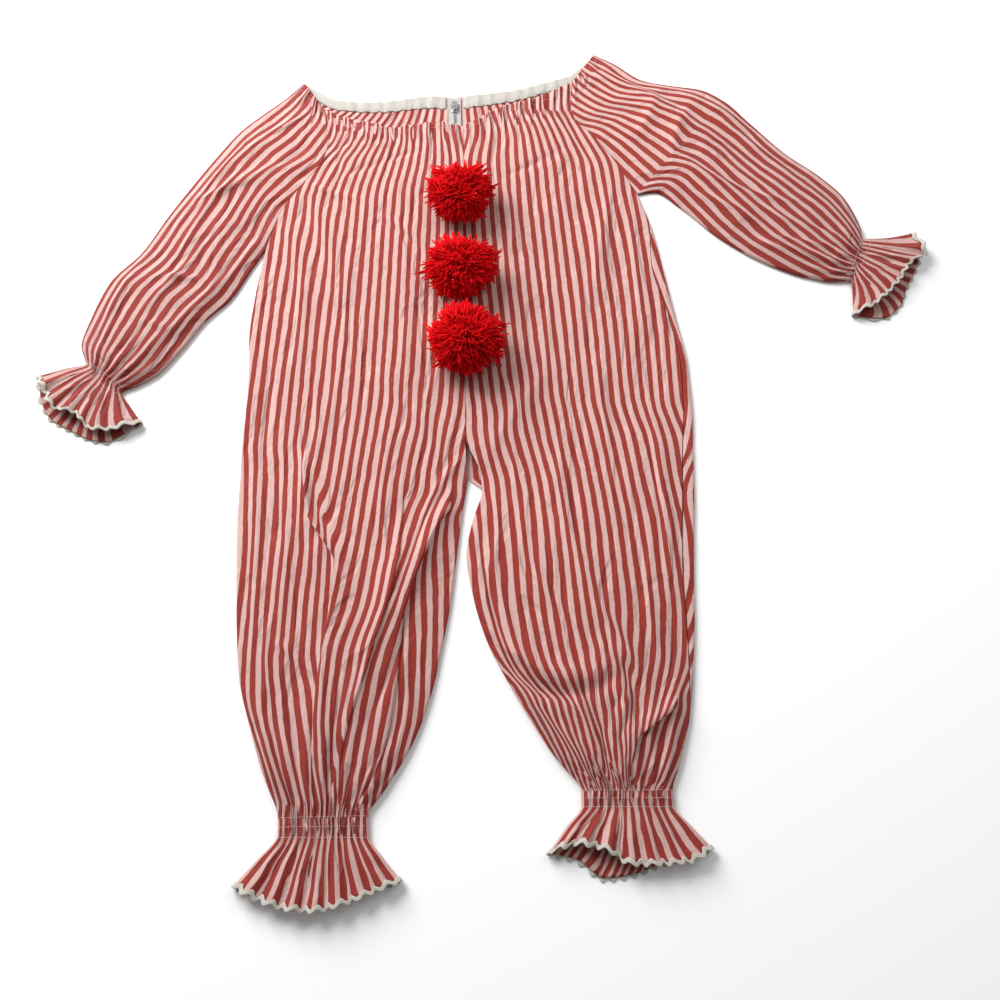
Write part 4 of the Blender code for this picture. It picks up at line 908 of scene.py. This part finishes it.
# Row, stripes from the outer crease to the seam
STRIPES_ON_SLEEVE = {"left": ((0, 7), (2, 9), (5, 11), (9, 10.5), (14, 10)),
                     "right": ((0, 7), (2, 11), (4, 13), (6, 14), (9, 12.5), (11, 11), (14, 9.5))}


def sleeve_cloth(side, columns, rows):
    """Middle surface of a sleeve: over the top from the front seam to the crease, and back under."""
    radius, puff = section_at(SLEEVE_SECTIONS, rows)
    fold = turned(rows, UNDERARM_ROW)
    crease = line_at([SLEEVE_FOLD[side]], rows)
    over = line_at([RAGLAN[side], UNDERARM[side]], rows)
    under = line_at([BACK_RAGLAN[side], UNDERARM[side]], rows)
    over_width = np.linalg.norm(over - crease, axis=1)
    under_width = np.linalg.norm(under - crease, axis=1)
    over_cloth = over_width - radius - taken_up(radius, fold, 0)
    under_cloth = under_width - radius - taken_up(radius, fold, 0)
    turn = math.pi * radius
    cloth = over_cloth + turn + under_cloth
    start = edge_stops(seam_gap(rows, UNDERARM_ROW), radius)
    end = [cloth - d for d in reversed(start)]
    crease_stops = [over_cloth + turn * k / SLEEVE_TURN_COLUMNS for k in range(SLEEVE_TURN_COLUMNS + 1)]
    distance = step_through(start + between(start[-1], over_cloth, SLEEVE_TOP_COLUMNS) + crease_stops
                            + between(over_cloth + turn, end[0], SLEEVE_UNDER_COLUMNS) + end, columns)
    on_top = distance < over_cloth + turn / 2
    angle = np.clip((distance - over_cloth) / radius, 0, math.pi)
    at_crease = (angle > 0) & (angle < math.pi)
    seam_way = np.where(on_top, distance, cloth - distance)
    inward, lift = from_seam(seam_way, radius, fold, 0)
    width = np.where(on_top, over_width, under_width)
    from_crease = np.where(at_crease, radius * (1 - np.sin(angle)), width - inward)
    share = from_crease / width
    plan = crease + (np.where(on_top[:, None], over, under) - crease) * share[:, None]
    upper = bowed(plan, crease, over, HAND[side], share, rows, None, CUFF_BOWS[side][0], CUFF_ROW)
    lower = bowed(plan, crease, under, HAND[side], share, rows, None, CUFF_BOWS[side][1], CUFF_ROW)
    way_round = ease(angle / math.pi)[:, None]
    plan = upper * (1 - way_round) + lower * way_round
    level = WALL / 2 + np.where(on_top, 2 * radius - lift, lift)
    level = np.where(at_crease, WALL / 2 + radius * (1 + np.cos(angle)), level)
    held = held_by_seam(seam_way, fold) * ease((over_cloth - distance) / EDGE_SOFTENING)
    across = (columns - EDGE_STOPS) / SLEEVE_TOP_COLUMNS
    relief, drawn_x, drawn_y = folds_at(*plan.T, FOLDS + CREASES)
    pucker, drift = puckers_at(SLEEVE_PUCKERS, across, rows)
    relief += gathers_at(SLEEVE_GATHERS, across, rows) + pucker + limp(*plan.T, SLEEVE_LIMP)
    upper_only = (puff * np.sin(math.pi * np.clip(share, 0, 1)) + relief * held) * (angle <= 0)
    under_crease = folds_at(*plan.T, SLEEVE_UNDER_CREASES)[0]
    under_crease *= ease(seam_way / EDGE_SOFTENING)
    under_crease *= ease(from_crease / EDGE_SOFTENING - FLAT_AT_CREASE) * fold
    level += upper_only + under_crease * (angle >= math.pi) + HEM_CLEAR * ease(rows - CUFF_ROW + 1)
    way_in = (over - crease) / over_width[:, None] ** 2
    seen = share + np.where(angle <= 0, drawn_x * way_in[:, 0] + drawn_y * way_in[:, 1] - drift / width, 0)
    count = seen * by_rows(STRIPES_ON_SLEEVE[side], rows)[0] * np.where(angle < math.pi / 2, 1, -1)
    return np.column_stack([plan, level]), np.column_stack([count, rows * STRIPE_ROW])


both_sides("cloth_sleeve", sleeve_cloth, SLEEVE_STEPS, SLEEVE_ROW_STEPS, CLOTH, striped,
           stands_for="sleeve")

# ---- Neck casing -----------------------------------------
# A strip of white cotton tape is stitched inside the back of the neck as the casing for the neck
# elastic. It runs from the crease of each sleeve to the zip and is gathered with the cloth.
CASING_WALL = 0.6
CASING_FROM, CASING_SHORT_OF_ZIP = 0.5, 0.25  # columns
CASING_DROP = 0.5  # rows
CASING_LIFT = 1.5
CASING_SETTLES = 0.65  # how far its lower edge comes down on to the back
CASING_EDGE = ((0.05, 71), (0.04, 173))  # depth and waves of its lower edge, as a share of its drop
CASING_SHORT = 0.06
CASING_JOIN = 0.1  # share of its first step over which it passes from the sleeve to the back
CASING_THREADS = (8, 3)  # UV units a step and a row
BELOW_CREASE = EDGE_STOPS + SLEEVE_TOP_COLUMNS + SLEEVE_TURN_COLUMNS
SLEEVE_INNER = SLEEVE_ALL - EDGE_STOPS
CASING_STEPS = ((0, 1, 16), (1, 2, 84))
CASING_ROW_STEPS = ((0, CASING_DROP, 12),)
CASING_PUCKERS = ((0.25, 0.3, 0.3, 21, 0.7),)
CASING_WHITES = ((0.53, 0.50, 0.46, 1), (0.46, 0.43, 0.385, 1))

white_cotton, tree, inputs, place, threads = woven("white_cotton", 0.9, 0.2, 22.0)
shade = maths(tree, "ADD", threads["Shade"], WEAVE_SHADE)
linked(tree, inputs, {"Base Color": shaded(tree, mottled(tree, place, 0.6, 5.0, CASING_WHITES), shade),
                      "Normal": raised(tree, threads["Height"], 0.4, 0.0004)})


def neck_casing(side, steps, rows):
    """Middle surface of a casing: on the sleeve's under side, then on the back."""
    on_sleeve = BELOW_CREASE + CASING_FROM + steps * (SLEEVE_INNER - BELOW_CREASE - CASING_FROM)
    on_back = LAP_STOPS + (steps - 1) * (BACK_COLUMNS - CASING_SHORT_OF_ZIP)
    sleeve, _ = sleeve_cloth(side, np.minimum(on_sleeve, SLEEVE_INNER), rows)
    uneven = sum(depth * np.sin(steps * waves) for depth, waves in CASING_EDGE) - CASING_SHORT
    back, _ = back_cloth(side, np.maximum(on_back, LAP_STOPS), rows * (1 + uneven * ease(steps * 4 - 4)))
    joined = ease((steps - 1 + CASING_JOIN) / CASING_JOIN)[:, None]
    places = sleeve * (1 - joined) + back * joined
    lower = ease(rows / CASING_DROP * 3 - 2)
    places[:, 2] += CASING_LIFT - CASING_SETTLES * lower + puckers_at(CASING_PUCKERS, steps / 2, rows)[0]
    return places, np.column_stack([steps, rows]) * CASING_THREADS


both_sides("casing", neck_casing, CASING_STEPS, CASING_ROW_STEPS, CASING_WALL, white_cotton,
           stands_for="neck_casing")

# ---- Zip -------------------------------------------------
# A light nylon coil zip closes the back: two woven tapes stitched to the cloth, a coil on the edge
# of each, and a small metal slider at the neck whose tab hinges on its bridge.
TAPE_WALL = 0.6
TAPE_LEVEL = WALL + SEAM_GAP + 0.5
TAPE_EDGE_RISE, TAPE_EDGE = 0.25, 1 / 5  # height of the edge under the coil, share of its width
TAPE_STEPS, TAPE_ROW_STEPS = ((0, 1, 8),), ((0.05, 6, 90),)
COIL_PITCH = 1.3
COIL_LOOP = (1.35, 0.5, 0.55)
COIL_OUT, COIL_LIFT = 0.75, 0.9
COIL_TOP, LAST_COIL_ROW = 442.0, 6.0  # y below the slider, and row at the foot of the tapes
TAPE_GREYS = ((0.46, 0.45, 0.42, 1), (0.56, 0.55, 0.52, 1))
COIL_GREYS = ((0.30, 0.31, 0.31, 1), (0.46, 0.47, 0.46, 1))
STEEL_GREYS = ((0.42, 0.42, 0.41, 1), (0.72, 0.72, 0.70, 1))

tape_weave, tree, inputs, place, threads = woven("zip_tape_weave", 0.8, 0.15, 2.0)
ribs = shader_node(tree, "TexWave", {"Vector": place, "Scale": 0.9, "Distortion": 0.3},
                   bands_direction="X").outputs[1]
linked(tree, inputs, {"Base Color": mixed(tree, ribs, *TAPE_GREYS),
                      "Normal": raised(tree, maths(tree, "ADD", ribs, threads["Height"]), 0.5, 0.0003)})

coil_nylon, tree, inputs = surface_of("coil_nylon", 0.45)
linked(tree, inputs, {"Base Color": mottled(tree, object_place(tree), 900.0, 3.0, COIL_GREYS)})

steel, tree, inputs = surface_of("slider_steel", 0.32, metallic=1.0)
scuff = noise(tree, object_place(tree), 700.0, 6.0)
linked(tree, inputs, {"Base Color": mixed(tree, scuff, *STEEL_GREYS),
                      "Roughness": maths(tree, "MULTIPLY_ADD", scuff, 0.35, 0.15),
                      "Normal": raised(tree, scuff, 0.2, 0.0002)})


def tape_line(outward, across, rows):
    """Middle surface of a tape, raised a little along the edge that carries the coil."""
    x, y = line_at([CENTRE_BACK], rows).T
    x = x + outward * (SEAM_GAP / 2 + across * TAPE_WIDTH)
    level = TAPE_LEVEL + TAPE_EDGE_RISE * ease(1 - across / TAPE_EDGE)
    return np.column_stack([x, y, level]), np.column_stack([across * TAPE_WIDTH, -y])


for side, hand in HAND.items():
    outward = -hand
    tape = sewn("tape_" + side, partial(tape_line, outward), TAPE_STEPS, TAPE_ROW_STEPS, TAPE_WALL,
                tape_weave)
    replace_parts(tape, "zip_tape_" + side)
    bm = bmesh.new()
    bottom = line_at([CENTRE_BACK], np.array([LAST_COIL_ROW]))[0][1]
    for k in range(int((COIL_TOP - bottom) / COIL_PITCH)):
        y = COIL_TOP - (k + 0.5 * (outward > 0)) * COIL_PITCH
        row = np.interp(y, [p[1] for p in reversed(CENTRE_BACK)], range(len(CENTRE_BACK) - 1, -1, -1))
        x = line_at([CENTRE_BACK], np.array([row]))[0][0]
        bead(bm, COIL_LOOP, (x + outward * COIL_OUT, y, TAPE_LEVEL + COIL_LIFT))
    beaded(bm, "zip_coil_" + side, coil_nylon)
for node in ("zip_slider", "zip_pull"):
    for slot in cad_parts[node].material_slots:
        slot.material = steel

# ---- Rick-rack -------------------------------------------
# Cream rick-rack braid, a flat braid woven in a zigzag, is stitched over the edge of each ruffle so
# that its points show past the hem. One length goes all round, starting at the inner seam.
BRAID_WALL, BRAID_WIDTH, BRAID_SWING, BRAID_EASE = 0.9, 5.6, 2.3, 0.5
HEM_ROW_LENGTH, CUFF_ROW_LENGTH = 27.0, 30.0
WAVE_STEPS, STRAIGHT_STEPS, EDGE_TO_EDGE = 10, 4, 4
BRAID_OFF_FLOOR = 0.3
PLAIT_ALONG, PLAIT_ACROSS = 1.2, 4  # UV units of the slanting threads, a step and an edge
BRAID_CREAMS = ((0.64, 0.61, 0.545, 1), (0.51, 0.48, 0.41, 1))

rick_rack, tree, inputs, place, threads = woven("rick_rack", 0.9, 0.2, 2.4)
shade = maths(tree, "ADD", maths(tree, "MULTIPLY", threads["Shade"], 1.6), 0.76)
linked(tree, inputs, {"Base Color": shaded(tree, mottled(tree, place, 0.35, 4.0, BRAID_CREAMS), shade),
                      "Normal": raised(tree, threads["Height"], 0.7, 0.0004)})


def off_cloth(cloth, columns, rows, out, step=0.02):
    """Points held off a cloth's middle surface along its own normal."""
    here = cloth(columns, rows)[0]
    across = cloth(columns + step, rows)[0] - cloth(columns - step, rows)[0]
    along = cloth(columns, rows + step)[0] - cloth(columns, rows - step)[0]
    normal = np.cross(along, across)
    normal /= np.linalg.norm(normal, axis=1)[:, None]
    return here + normal * np.asarray(out)[..., None]


def braid_path(stretches):
    """Stretches of (cloth, way out, first column, last column, waves) as points along the braid."""
    path = []
    for cloth, outward, first, last, waves in stretches:
        count = waves * WAVE_STEPS if waves else STRAIGHT_STEPS
        for k in range(count + (waves == 0)):
            path.append((cloth, outward, first + (last - first) * k / count,
                         math.sin(2 * math.pi * waves * k / count)))
    return path


def braid(name, stretches, row_length, hem_row):
    """A strip of braid along a path, held off the cloth and never below the floor."""
    path = braid_path(stretches)
    out = WALL / 2 + BRAID_EASE + BRAID_WALL / 2

    def strip(steps, edges):
        places = np.zeros((len(steps), 3))
        index = np.round(steps).astype(int)
        columns = np.array([path[k][2] for k in index])
        swing = BRAID_SWING * np.array([path[k][3] for k in index]) + (edges - 0.5) * BRAID_WIDTH
        for cloth, outward in {(p[0], p[1]) for p in path}:
            pick = np.array([path[k][0] is cloth for k in index])
            places[pick] = off_cloth(cloth, columns[pick], hem_row + swing[pick] / row_length,
                                     np.full(pick.sum(), outward * out))
        places[:, 2] = np.maximum(places[:, 2], BRAID_WALL / 2 + BRAID_OFF_FLOOR)
        along, across = steps * PLAIT_ALONG, edges * PLAIT_ACROSS
        return places, np.column_stack([along + across, along - across])

    count = len(path) - 1
    return sewn(name, strip, ((0, count, count),), ((0, 1, EDGE_TO_EDGE),), BRAID_WALL, rick_rack)


CREASE = EDGE_STOPS + SLEEVE_TOP_COLUMNS
FRONT_INNER, BACK_INNER = FRONT_ALL - EDGE_STOPS, BACK_ALL - EDGE_STOPS
CLOTHS = {side: [partial(cloth, side) for cloth in (front_cloth, back_cloth, sleeve_cloth)]
          for side in HAND}
BRAID_END, BACK_BRAID_START = 0.1, 0.8  # columns
for side, hand in HAND.items():
    front, back, sleeve = CLOTHS[side]
    hem = braid("hem_braid_" + side, (
        (front, hand, FRONT_ALL - BRAID_END, FRONT_INNER, 0), (front, hand, FRONT_INNER, EDGE_STOPS, 14),
        (front, hand, EDGE_STOPS, BRAID_END, 0), (back, -hand, BACK_BRAID_START, LAP_STOPS, 0),
        (back, -hand, LAP_STOPS, BACK_INNER, 15), (back, -hand, BACK_INNER, BACK_ALL - BRAID_END, 0),
    ), HEM_ROW_LENGTH, HEM_ROW)
    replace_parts(hem, "hem_trim_" + side)
    cuff = braid("cuff_braid_" + side, (
        (sleeve, -hand, BRAID_END, EDGE_STOPS, 0), (sleeve, -hand, EDGE_STOPS, CREASE, 12),
        (sleeve, -hand, CREASE, BELOW_CREASE, 0), (sleeve, -hand, BELOW_CREASE, SLEEVE_INNER, 11),
        (sleeve, -hand, SLEEVE_INNER, SLEEVE_ALL - BRAID_END, 0),
    ), CUFF_ROW_LENGTH, CUFF_ROW)
    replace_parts(cuff, "cuff_trim_" + side)

# ---- Machine stitching -----------------------------------
# Rows of pale cotton thread hold the neck casing and the elastic at each wrist and ankle. Each
# stitch is sunk at its ends.
STITCH = 2.6
STITCH_HALF, STITCH_OUT = 0.28, 0.15  # half its thickness, and how far it stands off the cloth
SEAM_POINTS = 400
NECK_SEAM, BACK_NECK_SEAM = 0.3, 0.5  # rows
NECK_SEAM_END = 0.4  # columns short of the edge
ANKLE_SEAMS, WRIST_SEAMS = (19.05, 19.55, 20.1), (11.6, 12.4)
THREAD_PINKS = ((0.80, 0.70, 0.66, 1), (0.62, 0.50, 0.46, 1))

thread, tree, inputs = surface_of("cotton_thread", 0.75, sheen=0.2)
linked(tree, inputs, {"Base Color": mottled(tree, object_place(tree), 1500.0, 3.0, THREAD_PINKS)})


def stitched(bm, cloth, outward, first, last, row):
    """Stitches along one row of a cloth piece, between two columns."""
    columns = np.linspace(first, last, SEAM_POINTS)
    seam = off_cloth(cloth, columns, np.full(SEAM_POINTS, float(row)),
                     np.full(SEAM_POINTS, outward * (CLOTH / 2 + STITCH_OUT)))
    way = np.concatenate([[0], np.cumsum(np.linalg.norm(np.diff(seam, axis=0), axis=1))])
    for k in range(int(way[-1] / STITCH)):
        a, b = (np.array([np.interp(at, way, seam[:, axis]) for axis in range(3)])
                for at in ((k + 0.1) * STITCH, (k + 0.9) * STITCH))
        run = b - a
        around = Matrix.Rotation(math.atan2(run[1], run[0]), 3, "Z")
        tilt = Matrix.Rotation(-math.atan2(run[2], math.hypot(run[0], run[1])), 3, "Y")
        bead(bm, (np.linalg.norm(run) / 2, STITCH_HALF, STITCH_HALF), (a + b) / 2, around @ tilt)


for side, hand in HAND.items():
    front, back, sleeve = CLOTHS[side]
    seams = {
        "neck": [(front, hand, NECK_SEAM_END, FRONT_ALL - NECK_SEAM_END, NECK_SEAM),
                 (sleeve, -hand, NECK_SEAM_END, CREASE, NECK_SEAM),
                 (back, -hand, LAP_STOPS, BACK_ALL - 1, BACK_NECK_SEAM)],
        "ankle": [(front, hand, 1, FRONT_ALL - 1, row) for row in ANKLE_SEAMS]
                 + [(back, -hand, LAP_STOPS, BACK_INNER, row) for row in ANKLE_SEAMS[::2]],
        "wrist": [(sleeve, -hand, 1, CREASE, row) for row in WRIST_SEAMS]
                 + [(sleeve, -hand, BELOW_CREASE, SLEEVE_INNER, row) for row in WRIST_SEAMS],
    }
    for where, lines in seams.items():
        bm = bmesh.new()
        for line in lines:
            stitched(bm, *line)
        beaded(bm, "stitches_" + where + "_" + side, thread)

# ---- Pompoms ---------------------------------------------
# Three pompoms of red acrylic yarn are sewn to the centre front: cut ends tied at the middle that
# spring out all round, pressed flat where they lie on the cloth.
# Name, x, y, radius, half height
POMPOMS = (("top", -42.0, 283.0, 44.0, 25.0), ("middle", -39.0, 169.0, 45.0, 26.0),
           ("bottom", -32.0, 68.0, 47.0, 27.0))
POMPOM_REST, POMPOM_MIDDLE, POMPOM_TALL = 9.8, 0.93, 1.04  # floor to yarn, then shares of half height
LOCKS, IN_LOCK = 180, 11
STRANDS = LOCKS * IN_LOCK
STRAND_POINTS = 6
STRAND_WIDTHS = (0.9, 1, 1, 1, 1, 0.85)  # of YARN, point by point
YARN = 1.0
POMPOM_SINKS = 1.75  # locks start from 1, straight up, and go down by this much
GOLDEN_TURN = 2.39996  # from lock to lock
LOCK_LENGTHS, LOCK_WAVE, STRAND_LENGTHS = (0.80, 0.91), 0.05, (0.90, 1.03)
LOCK_TINT = 0.7  # how much of a strand's tint it shares with its lock
LOCK_SPREAD, STRAND_LEAN, STRAND_CURL, STRAND_DROOP = 0.13, 0.19, 0.075, 0.10
CURL_TURN = 1.7 * math.pi
STRAND_ROOT = 0.25  # share of the radius where strands start
CUT_CLEAR = 1.5  # least height of a strand over the cloth
YARN_REDS = ((0.60, 0.002, 0.005, 1), (0.80, 0.003, 0.007, 1))

red_yarn, tree, inputs = surface_of("red_yarn", 1.0, sheen=0.12)
where = apart(tree, cloth_place(tree))
fuzz = noise(tree, object_place(tree), 900.0, 4.0)
# Painted shade: the strands get darker towards their roots in the middle of the pompom, mottled at random
# by the fuzz
root_shade_and_fuzz = maths(tree, "MULTIPLY_ADD", where["Y"], 0.45, maths(tree, "MULTIPLY_ADD", fuzz, 0.3, 0.42))
linked(tree, inputs, {"Sheen Tint": (1.0, 0.1, 0.08, 1), "Specular IOR Level": 0.1,
                      "Base Color": shaded(tree, mixed(tree, where["X"], *YARN_REDS), root_shade_and_fuzz),
                      "Normal": raised(tree, fuzz, 0.8, 0.0005)})


def scatter(chance):
    return Vector([chance.gauss(0, 1) for _ in range(3)])


def yarn_curves(number, x, y, radius, half_height):
    """Curves of one pompom's strands, lock by lock, and a tint for each strand."""
    chance = random.Random(number + 3)
    yarn = bpy.data.curves.new("yarn", "CURVE")
    yarn.dimensions = "3D"
    yarn.bevel_depth = YARN * MM
    yarn.bevel_resolution = 0
    middle = Vector((x, y, POMPOM_REST + POMPOM_MIDDLE * half_height))
    tints = []
    for strand in range(STRANDS):
        if strand % IN_LOCK == 0:
            up = 1 - POMPOM_SINKS * (strand + 0.5) / STRANDS
            around = strand / IN_LOCK * GOLDEN_TURN + chance.uniform(-0.3, 0.3)
            flat = math.sqrt(max(1 - up * up, 0))
            axis = Vector((flat * math.cos(around), flat * math.sin(around), up))
            lean = scatter(chance)
            lean -= lean.dot(axis) * axis
            tall = chance.uniform(*LOCK_LENGTHS) + LOCK_WAVE * math.sin(3 * around + number)
            tint = chance.random()
        ray = (axis + LOCK_SPREAD * scatter(chance)).normalized()
        curl = scatter(chance)
        reach = tall * chance.uniform(*STRAND_LENGTHS)
        spline = yarn.splines.new("POLY")
        spline.points.add(STRAND_POINTS - 1)
        for k, point in enumerate(spline.points):
            share = k / (STRAND_POINTS - 1)
            at = ray * (STRAND_ROOT + (reach - STRAND_ROOT) * share) + lean * STRAND_LEAN * share ** 2
            at += curl * STRAND_CURL * math.sin(CURL_TURN * share)
            at.z -= STRAND_DROOP * share ** 2 * flat
            at = middle + Vector((at.x * radius, at.y * radius, at.z * half_height * POMPOM_TALL))
            at.z = max(at.z, POMPOM_REST + CUT_CLEAR + chance.uniform(0, 2))
            point.co = (*(at * MM), 1)
            point.radius = STRAND_WIDTHS[k]
        tints.append(LOCK_TINT * tint + (1 - LOCK_TINT) * chance.random())
    return yarn, tints


for number, (name, *shape) in enumerate(POMPOMS):
    yarn, tints = yarn_curves(number, *shape)
    holder = placed("yarn", yarn)
    mesh = bpy.data.meshes.new_from_object(holder)
    bpy.data.objects.remove(holder)
    while mesh.uv_layers:
        mesh.uv_layers.remove(mesh.uv_layers[0])
    bm = bmesh.new()
    bm.from_mesh(mesh)
    cut_ends = [e for e in bm.edges if e.is_boundary]
    bmesh.ops.holes_fill(bm, edges=cut_ends, sides=4)
    bmesh.ops.recalc_face_normals(bm, faces=bm.faces[:])
    pompom = finished(bm, "pompom_yarn_" + name, red_yarn)
    bpy.data.meshes.remove(mesh)
    ring = len(pompom.data.vertices) // (STRANDS * STRAND_POINTS)
    share = np.tile(np.repeat(np.arange(STRAND_POINTS) / (STRAND_POINTS - 1), ring), STRANDS)
    follow(pompom, [np.column_stack([np.repeat(tints, ring * STRAND_POINTS), share])])
    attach(pompom, "suit")
    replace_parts(pompom, "pompom_" + name)

# ---- Floor, light and camera -----------------------------
# A plain pale floor, a broad soft light past the neck, a fill at its right, and the camera.
CAMERA_TILT = math.radians(23.7)
CAMERA_RANGE = 1.1136
AIM = (0.008, -0.123, 0.0)
# Name, place, what it is aimed at, size, watts
LIGHTS = (("window", (-1.5, 1.6, 1.5), (0, 0, 0), (1.8, 1.8), 122),
          ("fill", (1.5, 1.1, 1.9), (0.3, 0.2, 0), (1.6, 1.6), 18))
WORLD_STRENGTH = 0.28
FLOOR_HALF, FLOOR_DROP = 6, 0.0002

bm = bmesh.new()
bmesh.ops.create_grid(bm, x_segments=1, y_segments=1, size=FLOOR_HALF)
bmesh.ops.translate(bm, vec=(0, 0, -FLOOR_DROP), verts=bm.verts[:])
floor_paper, tree, inputs = surface_of("floor_paper", 0.9)
linked(tree, inputs, {"Base Color": (0.96, 0.96, 0.96, 1)})
finished(bm, "floor", floor_paper)

for name, place, aim, size, watts in LIGHTS:
    lamp = bpy.data.lights.new(name, "AREA")
    lamp.shape = "RECTANGLE"
    lamp.size, lamp.size_y = size
    lamp.energy = watts
    light = placed(name, lamp)
    light.location = place
    light.rotation_euler = (Vector(place) - Vector(aim)).to_track_quat("Z", "Y").to_euler()

world = bpy.data.worlds.new("studio")
bpy.context.scene.world = world
world.use_nodes = True
linked(world.node_tree, world.node_tree.nodes["Background"].inputs,
       {"Color": (1, 1, 1, 1), "Strength": WORLD_STRENGTH})

view = bpy.data.cameras.new("camera")
view.sensor_width = 36
view.lens = 36
camera = placed("camera", view)
camera.location = (AIM[0], AIM[1] - math.sin(CAMERA_TILT) * CAMERA_RANGE,
                   AIM[2] + math.cos(CAMERA_TILT) * CAMERA_RANGE)
camera.rotation_euler = (CAMERA_TILT, 0, 0)
bpy.context.scene.camera = camera
bpy.context.scene.view_settings.view_transform = "Standard"
